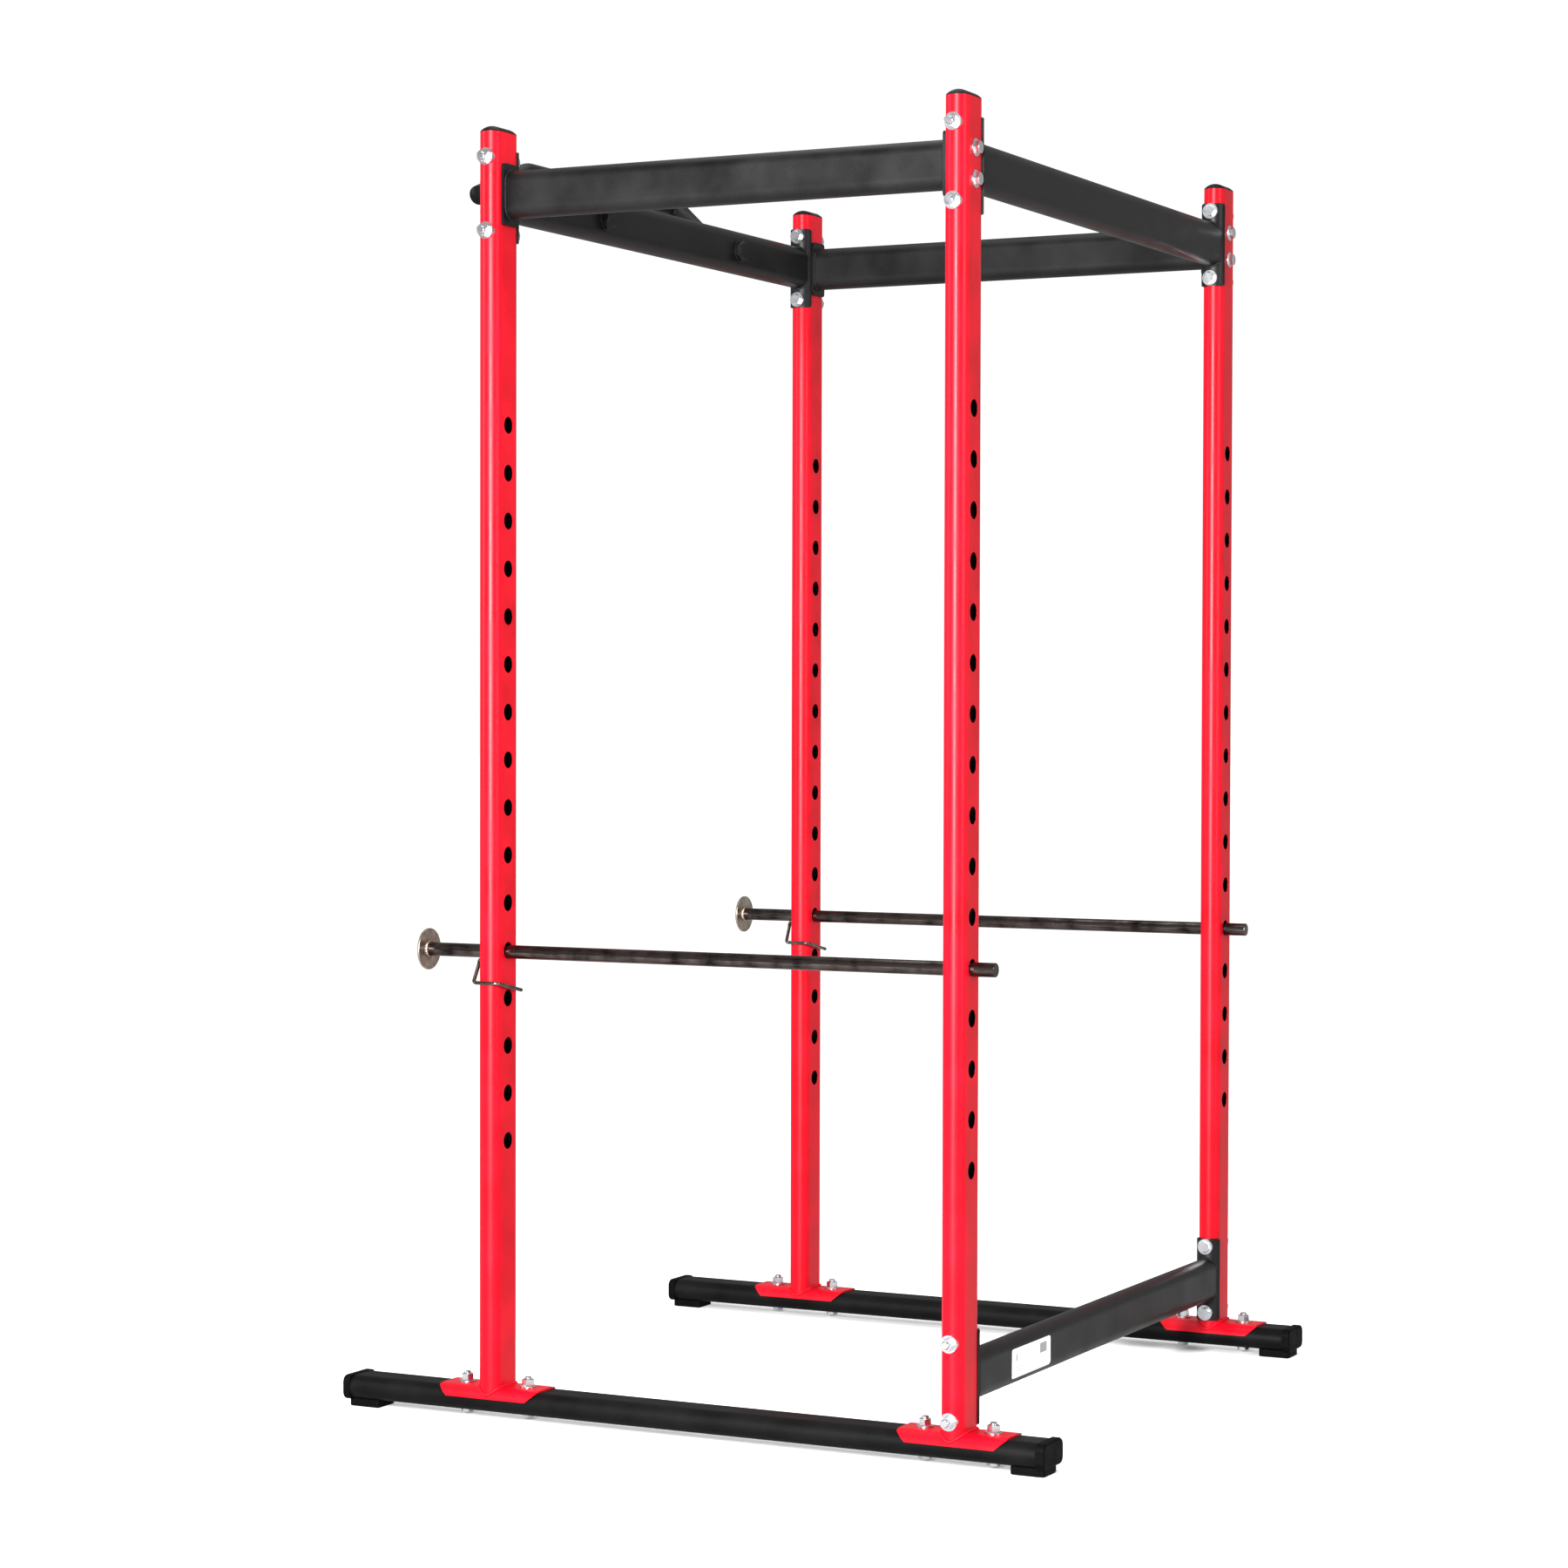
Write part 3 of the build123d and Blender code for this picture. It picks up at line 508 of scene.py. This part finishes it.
def washer_form(name, outer_d, bore_d, thickness, edge=0.4 * MM):
    outer, bore = outer_d / 2, bore_d / 2
    rings = [round_ring(bore, edge), round_ring(bore + edge, 0), round_ring(outer - edge, 0),
             round_ring(outer, edge), round_ring(outer, thickness - edge),
             round_ring(outer - edge, thickness), round_ring(bore + edge, thickness),
             round_ring(bore, thickness - edge)]
    return ring_mesh(name, rings, closed_loop=True)


print("points to a ring:", STEPS)

# %% [markdown]
# ## A tree that stands one form on many seats
#
# A seat is a point with a direction. The tree turns the form's +Z to that direction, then spins it by a
# random angle about it, because no two hexes end at the same angle when a spanner tightens them. The random
# numbers come from a fixed seed, so every run gives the same cage. Realize Instances turns the copies into
# one plain mesh.

# %% Tree: stand on seats
def new_tree(name, sockets):
    tree = bpy.data.node_groups.new(name, "GeometryNodeTree")
    tree.interface.new_socket("Geometry", in_out="OUTPUT", socket_type="NodeSocketGeometry")
    for socket_name, kind in sockets:
        tree.interface.new_socket(socket_name, in_out="INPUT", socket_type=kind)
    return tree, add_node(tree, "NodeGroupInput").outputs


seat_tree, given = new_tree("Stand on seats", [
    ("Seats", "NodeSocketGeometry"), ("Form", "NodeSocketObject"), ("Spin", "NodeSocketFloat"),
    ("Seed", "NodeSocketInt"), ("Finish", "NodeSocketMaterial")])
form = add_node(seat_tree, "GeometryNodeObjectInfo", {"Object": given["Form"]})
direction = add_node(seat_tree, "GeometryNodeInputNamedAttribute", {"Name": "direction"},
                     data_type="FLOAT_VECTOR")
stand = add_node(seat_tree, "FunctionNodeAlignRotationToVector", {"Vector": direction.outputs["Attribute"]},
                 axis="Z")
angle = add_node(seat_tree, "FunctionNodeRandomValue", {3: given["Spin"], "Seed": given["Seed"]})
spin = add_node(seat_tree, "FunctionNodeAxisAngleToRotation", {"Axis": (0, 0, 1), "Angle": angle.outputs[1]})
turned = add_node(seat_tree, "FunctionNodeRotateRotation", {0: stand.outputs[0], 1: spin.outputs[0]},
                  rotation_space="LOCAL")
copies = add_node(seat_tree, "GeometryNodeInstanceOnPoints", {
    "Points": given["Seats"], "Instance": form.outputs["Geometry"], "Rotation": turned.outputs[0]})
solid = add_node(seat_tree, "GeometryNodeRealizeInstances", {"Geometry": copies.outputs[0]})
painted = add_node(seat_tree, "GeometryNodeSetMaterial",
                   {"Geometry": solid.outputs[0], "Material": given["Finish"]})
add_node(seat_tree, "NodeGroupOutput", {"Geometry": painted.outputs[0]})
print("seat tree nodes:", len(seat_tree.nodes))

# %% Run a tree once and keep the plain mesh
def bake(tree, host_mesh, name, values):
    host = bpy.data.objects.new(f"{name}_host", host_mesh)
    scene.collection.objects.link(host)
    modifier = host.modifiers.new("Build", "NODES")
    modifier.node_group = tree
    for socket in tree.interface.items_tree:
        if socket.in_out == "INPUT" and socket.name in values:
            modifier[socket.identifier] = values[socket.name]
    depsgraph = bpy.context.evaluated_depsgraph_get()
    mesh = bpy.data.meshes.new_from_object(host.evaluated_get(depsgraph), depsgraph=depsgraph)
    mesh.name = name
    bpy.data.objects.remove(host)
    piece = bpy.data.objects.new(name, mesh)
    scene.collection.objects.link(piece)
    return piece


def stand_on_seats(name, form_mesh, seats, finish, seed, replaced):
    seat_mesh = bpy.data.meshes.new(f"{name}_seats")
    seat_mesh.from_pydata([place for place, _ in seats], [], [])
    directions = seat_mesh.attributes.new("direction", "FLOAT_VECTOR", "POINT")
    for item, (_, facing) in zip(directions.data, seats):
        item.vector = facing
    pattern = bpy.data.objects.new(f"{name}_pattern", form_mesh)
    scene.collection.objects.link(pattern)
    piece = bake(seat_tree, seat_mesh, name,
                 {"Form": pattern, "Spin": math.tau, "Seed": seed, "Finish": finish})
    bpy.data.objects.remove(pattern)
    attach(piece, FRAME_BODY)
    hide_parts(*replaced)
    print(name, len(seats), "pieces,", len(piece.data.polygons), "faces")
    return piece


# %% [markdown]
# ## Where the fasteners sit
#
# The solids already say where: a group of bolts has a box, and its corners are the outermost bolts' ends.
# The cross beams are bolted along X, two bolts to an end; the side beams along Y; the saddles from below
# along Z.

# %% Cross-beam bolts and nuts
ACROSS = 18 * MM            # M12 hex, across its flats
BOLT_D = 12 * MM
HEAD_H = 7.5 * MM
STUB = 4 * MM               # thread that shows past a nut
CROSS_PLATE_T = 4 * MM
SIDE_PLATE_T = 5 * MM
ARC_WASHER_T = 3 * MM       # washer shaped to the tube's round side
cross_heads, cross_nuts = [], []
for beam in CROSS_BEAMS:
    bolt_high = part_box(f"{beam}_bolts")[1]
    nut_low, nut_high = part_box(f"{beam}_nuts")
    washer_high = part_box(f"{beam}_washers")[1]
    x_nut = washer_high[0]
    x_head = x_side - half_w - CROSS_PLATE_T - ARC_WASHER_T
    y = middle(f"{beam}_bolts").y
    for side in (-1, 1):
        for z in (nut_low[2] + ACROSS / 2, nut_high[2] - ACROSS / 2):
            cross_heads.append(((side * x_head, y, z), (side, 0, 0)))
            cross_nuts.append(((side * x_nut, y, z), (side, 0, 0)))
    cross_length = bolt_high[0] - x_head
nut_h = nut_high[0] - x_nut
stand_on_seats("cross_beam_hex_bolts", bolt_form("cross_bolt", ACROSS, HEAD_H, BOLT_D, cross_length),
               cross_heads, zinc, 3, [f"{beam}_bolts" for beam in CROSS_BEAMS])
stand_on_seats("cross_beam_hex_nuts", nut_form("cross_nut", ACROSS, nut_h, BOLT_D), cross_nuts,
               zinc, 4, [f"{beam}_nuts" for beam in CROSS_BEAMS])

# %% Side-beam bolts and washers
washer_low, washer_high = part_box("side_beam_washers")
washer_r = washer_high[0] - middle("side_beam_right").x
washer_d = 2 * washer_r
washer_t = y_post["front"] - half_t - washer_low[1]
side_length = washer_t + 2 * half_t + SIDE_PLATE_T + nut_h + STUB
side_heads = []
for x in (-x_side, x_side):
    for z in (washer_low[2] + washer_r, washer_high[2] - washer_r):
        side_heads.append(((x, washer_low[1], z), (0, 1, 0)))
        side_heads.append(((x, washer_high[1], z), (0, -1, 0)))
stand_on_seats("side_beam_hex_bolts", bolt_form("side_bolt", ACROSS, HEAD_H, BOLT_D, side_length), side_heads,
               zinc, 5, ["side_beam_bolts"])
stand_on_seats("side_beam_round_washers", washer_form("side_washer", washer_d, BOLT_D + 1 * MM, washer_t),
               side_heads, zinc, 6, ["side_beam_washers"])

# %% Saddle bolts, washers and nuts
rail_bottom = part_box("base_tube_right")[0][2]
saddle_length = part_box("saddle_bolts")[1][2] - rail_bottom
reach = (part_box("saddle_washers")[1][1] - washer_r) - y_post["rear"]
saddle_heads, saddle_washers, saddle_nuts = [], [], []
for x in (-x_side, x_side):
    for y_upright in y_post.values():
        for y in (y_upright - reach, y_upright + reach):
            saddle_heads.append(((x, y, rail_bottom), (0, 0, 1)))
            saddle_washers.append(((x, y, z_saddle_top), (0, 0, 1)))
            saddle_nuts.append(((x, y, z_saddle_top + washer_t), (0, 0, 1)))
stand_on_seats("saddle_hex_bolts", bolt_form("saddle_bolt", ACROSS, HEAD_H, BOLT_D, saddle_length),
               saddle_heads, zinc, 7, ["saddle_bolts"])
stand_on_seats("saddle_round_washers", washer_form("saddle_washer", washer_d, BOLT_D + 1 * MM, washer_t),
               saddle_washers, zinc, 8, ["saddle_washers"])
stand_on_seats("saddle_hex_nuts", nut_form("saddle_nut", ACROSS, nut_h, BOLT_D), saddle_nuts,
               zinc, 9, ["saddle_nuts"])

# %% Large black bolts of the pull-up arms
bolt_low, bolt_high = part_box("pullup_bolts")
washer_low, washer_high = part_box("pullup_washers")
arm_washer_r = (washer_high[2] - washer_low[2]) / 2
x_arm = washer_high[0] - arm_washer_r
arm_seats = [((side * x_arm, washer_high[1], z_top_beam), (0, -1, 0)) for side in (-1, 1)]
stand_on_seats("pullup_hex_bolts", bolt_form("pullup_bolt", 30 * MM, bolt_high[1] - washer_high[1], 20 * MM,
                                             washer_high[1] - bolt_low[1], 2.5 * MM),
               arm_seats, black_coat, 10, ["pullup_bolts"])
stand_on_seats("pullup_round_washers", washer_form("pullup_washer", 2 * arm_washer_r, 21 * MM,
                                                   washer_high[1] - washer_low[1]),
               arm_seats, black_coat, 11, ["pullup_washers"])

# %% [markdown]
# ## A tree that lays a weld bead
#
# A hand-laid bead is a row of overlapping drops: a rounded ridge whose width swells every couple of
# millimetres. A tube along the joint's path gives the ridge, and a sine of the distance along it gives the
# drops. A slow noise makes the bead wander in width as a hand does. Half the bead is sunk in the corner
# between the two parts.

# %% Tree: weld bead
bead_tree, given = new_tree("Weld bead", [
    ("Path", "NodeSocketGeometry"), ("Radius", "NodeSocketFloat"), ("Ripple", "NodeSocketFloat"),
    ("Swell", "NodeSocketFloat"), ("Seed", "NodeSocketFloat"), ("Finish", "NodeSocketMaterial")])
path = add_node(bead_tree, "GeometryNodeMeshToCurve", {"Mesh": given["Path"]})
step = add_node(bead_tree, "ShaderNodeMath", {0: given["Ripple"], 1: 0.25}, operation="MULTIPLY")
even = add_node(bead_tree, "GeometryNodeResampleCurve",
                {"Curve": path.outputs[0], "Length": step.outputs[0]}, mode="LENGTH")
along = add_node(bead_tree, "GeometryNodeSplineParameter")
turns = add_node(bead_tree, "ShaderNodeMath", {0: along.outputs["Length"], 1: given["Ripple"]},
                 operation="DIVIDE")
phase = add_node(bead_tree, "ShaderNodeMath", {0: turns.outputs[0], 1: math.tau}, operation="MULTIPLY")
wave = add_node(bead_tree, "ShaderNodeMath", {0: phase.outputs[0]}, operation="SINE")
drops = add_node(bead_tree, "ShaderNodeMath", {0: wave.outputs[0], 1: given["Swell"], 2: 0.95},
                 operation="MULTIPLY_ADD")
wander = add_node(bead_tree, "ShaderNodeTexNoise", {"W": given["Seed"], "Scale": 1 / (9 * MM), "Detail": 1.0},
                  noise_dimensions="4D")
hand = add_node(bead_tree, "ShaderNodeMath", {0: wander.outputs["Fac"], 1: 0.3, 2: -0.15},
                operation="MULTIPLY_ADD")
width = add_node(bead_tree, "ShaderNodeMath", {0: drops.outputs[0], 1: hand.outputs[0]}, operation="ADD")
section = add_node(bead_tree, "GeometryNodeCurvePrimitiveCircle",
                   {"Resolution": 10, "Radius": given["Radius"]})
ridge = add_node(bead_tree, "GeometryNodeCurveToMesh", {
    "Curve": even.outputs[0], "Profile Curve": section.outputs[0], "Scale": width.outputs[0],
    "Fill Caps": True})
smooth = add_node(bead_tree, "GeometryNodeSetShadeSmooth", {"Geometry": ridge.outputs[0]})
whole = add_node(bead_tree, "GeometryNodeRealizeInstances", {"Geometry": smooth.outputs[0]})
coated = add_node(bead_tree, "GeometryNodeSetMaterial",
                  {"Geometry": whole.outputs[0], "Material": given["Finish"]})
add_node(bead_tree, "NodeGroupOutput", {"Geometry": coated.outputs[0]})
print("bead tree nodes:", len(bead_tree.nodes))

# %% Lay a bead along some paths
def lay_beads(name, paths, radius, finish, body, seed, ripple=2.2 * MM, swell=0.12, closed=True):
    vertices, edges = [], []
    for points in paths:
        first = len(vertices)
        vertices.extend(points)
        count = len(points)
        edges.extend((first + i, first + (i + 1) % count) for i in range(count if closed else count - 1))
    path_mesh = bpy.data.meshes.new(f"{name}_paths")
    path_mesh.from_pydata(vertices, edges, [])
    piece = bake(bead_tree, path_mesh, name, {
        "Radius": radius, "Ripple": ripple, "Swell": swell, "Seed": float(seed), "Finish": finish})
    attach(piece, body)
    print(name, len(paths), "beads,", len(piece.data.polygons), "faces")
    return piece


def oval_points(long_half, short_half, count=96):
    """Points round a flat oval, as (along the long side, along the short side)."""
    straight = long_half - short_half
    points = []
    for i in range(count):
        angle = math.tau * (i + 0.5) / count
        u = math.cos(angle)
        v = math.sin(angle)
        points.append((math.copysign(straight, u) + short_half * u, short_half * v))
    return points


print("oval outline points:", len(oval_points(half_w, half_t)))

# %% [markdown]
# ## The welds
#
# Each upright's foot is cut to the saddle's round top, so its bead drops over the tube's shoulders. The
# cross beams end on curved plates and the side beams on flat ones. The pull-up arms are welded to a plate
# below and to the bar above. Every path below is the outline where the two shapes meet, worked out from
# their sizes.

# %% Beads round the uprights' feet
saddle_r = z_saddle_top - z_base_mid
foot_paths = []
for x_post in (-x_side, x_side):
    for y_upright in y_post.values():
        points = []
        for u, v in oval_points(half_w + 0.6 * MM, half_t + 0.6 * MM):
            past_flat = max(abs(u) - arc_offset, 0.0)
            points.append((x_post + u, y_upright + v,
                           z_base_mid + math.sqrt(saddle_r ** 2 - past_flat ** 2) + 0.6 * MM))
        foot_paths.append(points)
lay_beads("upright_foot_beads", foot_paths, 2.6 * MM, red_weld, FRAME_BODY, 1)

# %% Beads at the beams' ends
x_arc = x_side - arc_offset
plate_r = half_t + CROSS_PLATE_T
beam_paths = []
for beam in CROSS_BEAMS:
    centre = middle(beam)
    for side in (-1, 1):
        points = []
        for u, v in oval_points(half_w + 0.4 * MM, half_t - 0.6 * MM):
            x = side * (x_arc - math.sqrt(plate_r ** 2 - v ** 2) - 0.5 * MM)
            points.append((x, centre.y + v, centre.z + u))
        beam_paths.append(points)
for side in SIDES:
    centre = middle(f"side_beam_{side}")
    low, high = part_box(f"side_beam_{side}")
    for y in (low[1] + 0.5 * MM, high[1] - 0.5 * MM):
        outline = oval_points(half_w + 0.4 * MM, half_t + 0.4 * MM)
        beam_paths.append([(centre.x + v, y, centre.z + u) for u, v in outline])
lay_beads("beam_end_beads", beam_paths, 2.0 * MM, black_coat, FRAME_BODY, 2)

# %% Beads at both ends of the pull-up arms
ARM_R = 14.3 * MM
ARM_FOOT_RISE = 15 * MM     # above the front beam's middle
BEAD_PROUD = 0.4 * MM       # bead's path outside the arm's own surface
STEPS_ARM = 72              # points to a path
arm_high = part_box("pullup_arms")[1]
plate_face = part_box("pullup_arm_plates")[0][1]
grip_low, grip_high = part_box("pullup_bar")
grip_r = (grip_high[1] - grip_low[1]) / 2
grip_axis = Vector((0, middle("pullup_bar").y, grip_high[2] - grip_r))
x_arm_axis = arm_high[0] - ARM_R
foot_axis = Vector((0, plate_face, z_top_beam + ARM_FOOT_RISE))
arm_line = (grip_axis - foot_axis).normalized()
arm_up = Vector((1, 0, 0)).cross(arm_line)
arm_paths = []
for side in (-1, 1):
    at_plate, at_bar = [], []
    for i in range(STEPS_ARM):
        angle = math.tau * i / STEPS_ARM
        rim = Vector((side * x_arm_axis, 0, 0)) + (ARM_R + BEAD_PROUD) * (
            math.cos(angle) * Vector((1, 0, 0)) + math.sin(angle) * arm_up)
        start = foot_axis + rim
        at_plate.append(start + arm_line * ((plate_face - 0.5 * MM - start.y) / arm_line.y))
        height = (ARM_R + BEAD_PROUD) * math.sin(angle)
        at_bar.append(grip_axis + rim - arm_line * math.sqrt(grip_r ** 2 - height ** 2))
    arm_paths.extend([at_plate, at_bar])
lay_beads("pullup_arm_beads", arm_paths, 1.8 * MM, black_coat, FRAME_BODY, 3)

# %% [markdown]
# ## Welds on the safety bars
#
# Each bar's stop disc is held by a bead round the bar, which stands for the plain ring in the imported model.
# The wire hook is tacked to the bar's underside with one short bead, which turns with the hook.

# %% Disc beads and hook tacks
HOOK_FRONT = 14 * MM        # wire's root, in front of the upright
RING_R = bar_r + 0.8 * MM   # bead's path round the bar
STEPS_RING = 64             # points to that path
for side, sign in (("left", -1), ("right", 1)):
    disc_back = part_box(f"safety_disc_{side}")[1][1]
    angles = [math.tau * i / STEPS_RING for i in range(STEPS_RING)]
    ring = [(sign * x_side + RING_R * math.cos(angle), disc_back + 0.6 * MM, z_bar + RING_R * math.sin(angle))
            for angle in angles]
    bead = lay_beads(f"safety_disc_bead_{side}", [ring], 3.0 * MM, disc_nickel, f"safety_bar_{side}",
                     4, ripple=2.6 * MM)
    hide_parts(f"safety_weld_ring_{side}")
    x_root = sign * x_side
    y_root = y_post["front"] - half_t - HOOK_FRONT
    tack = [(x_root - 3 * MM, y_root - 0.5 * MM, z_bar - bar_r - 3.9 * MM),
            (x_root + 1 * MM, y_root + 0.5 * MM, z_bar - bar_r - 4.1 * MM),
            (x_root + 6 * MM, y_root + 1.6 * MM, z_bar - bar_r - 6.0 * MM)]
    lay_beads(f"safety_hook_tack_{side}", [tack], 3.3 * MM, wire_nickel, f"safety_hook_body_{side}",
              5, closed=False)

# %% [markdown]
# ## Floor, light and camera
#
# The cage stands on a plain pale floor under soft light. A narrow upright strip lamp gives the round sides
# of the uprights their long highlight; weaker lamps fill the front and the far side, and one hangs
# overhead. The world is pale all round and brighter on one side than on the other, so that the flat-sided
# tubes are shaded, and the black ones show soft pale edges. A world of one strength would be simpler, but
# every face would look equally flat.

# %% Floor
floor_mesh = bpy.data.meshes.new("floor")
FLOOR_HALF = 60.0
corners = [(x * FLOOR_HALF, y * FLOOR_HALF, 0) for x, y in ((-1, -1), (1, -1), (1, 1), (-1, 1))]
floor_mesh.from_pydata(corners, [], [(0, 1, 2, 3)])
floor = bpy.data.objects.new("floor", floor_mesh)
scene.collection.objects.link(floor)
floor_material, floor_tree, floor_shader, _ = new_material("pale_studio_floor")
# Seen directly, the floor is white. What it throws back at the steel is greyer, as from a floor that ends
# nearby.
floor_ray = add_node(floor_tree, "ShaderNodeLightPath")
floor_white = add_node(floor_tree, "ShaderNodeMix", {
    0: floor_ray.outputs["Is Camera Ray"], 6: colour("#A6A6A6"), 7: colour("#FFFFFF")}, data_type="RGBA")
floor_tree.links.new(floor_white.outputs[2], floor_shader.inputs["Base Color"])
floor_shader.inputs["Roughness"].default_value = 1.0
floor_shader.inputs["Specular IOR Level"].default_value = 0.0
floor_mesh.materials.append(floor_material)
print("floor:", floor.name)

# %% World and lamps
world = bpy.data.worlds.new("pale_studio")
scene.world = world
world.use_nodes = True
background = world.node_tree.nodes["Background"]
toward = add_node(world.node_tree, "ShaderNodeTexCoord").outputs["Generated"]
facing_door = add_node(world.node_tree, "ShaderNodeVectorMath", {0: toward, 1: (0.89, 0.45, 0.0)},
                       operation="DOT_PRODUCT")
dimming = add_node(world.node_tree, "ShaderNodeMapRange", {
    "Value": facing_door.outputs["Value"], "From Min": -0.3, "From Max": 0.8, "To Min": 1.35, "To Max": 0.78})
# The backdrop itself is plain white, and gloss sees the darker room behind the lamps.
ray = add_node(world.node_tree, "ShaderNodeLightPath")
gloss_share = add_node(world.node_tree, "ShaderNodeMapRange", {
    "Value": ray.outputs["Is Glossy Ray"], "To Min": 1.0, "To Max": 0.3})
lit = add_node(world.node_tree, "ShaderNodeMath", {0: dimming.outputs[0], 1: gloss_share.outputs[0]},
               operation="MULTIPLY")
backdrop = add_node(world.node_tree, "ShaderNodeMix", {
    0: ray.outputs["Is Camera Ray"], 2: lit.outputs[0], 3: 1.05}, data_type="FLOAT")
world.node_tree.links.new(backdrop.outputs[0], background.inputs["Strength"])
background.inputs["Color"].default_value = colour("#FFFFFF")


def soft_lamp(name, place, target, width, height, watts):
    lamp = bpy.data.lights.new(name, "AREA")
    lamp.shape = "RECTANGLE"
    lamp.size = width
    lamp.size_y = height
    lamp.energy = watts
    holder = bpy.data.objects.new(name, lamp)
    facing = (Vector(target) - Vector(place)).to_track_quat("-Z", "Y")
    holder.matrix_world = Matrix.LocRotScale(Vector(place), facing, None)
    scene.collection.objects.link(holder)
    return holder


soft_lamp("key_strip", (5.0, 1.0, 1.7), (0, 0, 1.2), 0.36, 1.7, 760)
soft_lamp("fill_left", (2.6, -3.6, 2.0), (0, 0, 1.0), 0.8, 2.2, 60)
soft_lamp("side_fill", (1.2, 5.4, 1.9), (0, 0, 1.1), 1.6, 2.2, 110)
soft_lamp("overhead", (0, 0, 4.2), (0, 0, 0), 2.6, 2.6, 40)

# %% Camera
CAMERA_AT = Vector((5.585, 2.692, 1.1504))
AZIMUTH, ELEVATION, ROLL = math.radians(116.67), math.radians(-1.286), math.radians(-0.132)
looking = Vector((-math.sin(AZIMUTH) * math.cos(ELEVATION), math.cos(AZIMUTH) * math.cos(ELEVATION),
                  math.sin(ELEVATION)))
level_right = looking.cross(Vector((0, 0, 1))).normalized()
level_down = looking.cross(level_right)
right = math.cos(ROLL) * level_right + math.sin(ROLL) * level_down
down = looking.cross(right)
lens = bpy.data.cameras.new("camera")
lens.lens = 84.06
lens.sensor_width = 36
lens.clip_end = 200
camera = bpy.data.objects.new("camera", lens)
axes = Matrix((right, -down, -looking)).transposed()
camera.matrix_world = Matrix.Translation(CAMERA_AT) @ axes.to_4x4()
scene.collection.objects.link(camera)
scene.camera = camera
scene.view_settings.view_transform = "Standard"
print("camera at", [round(v, 3) for v in CAMERA_AT])
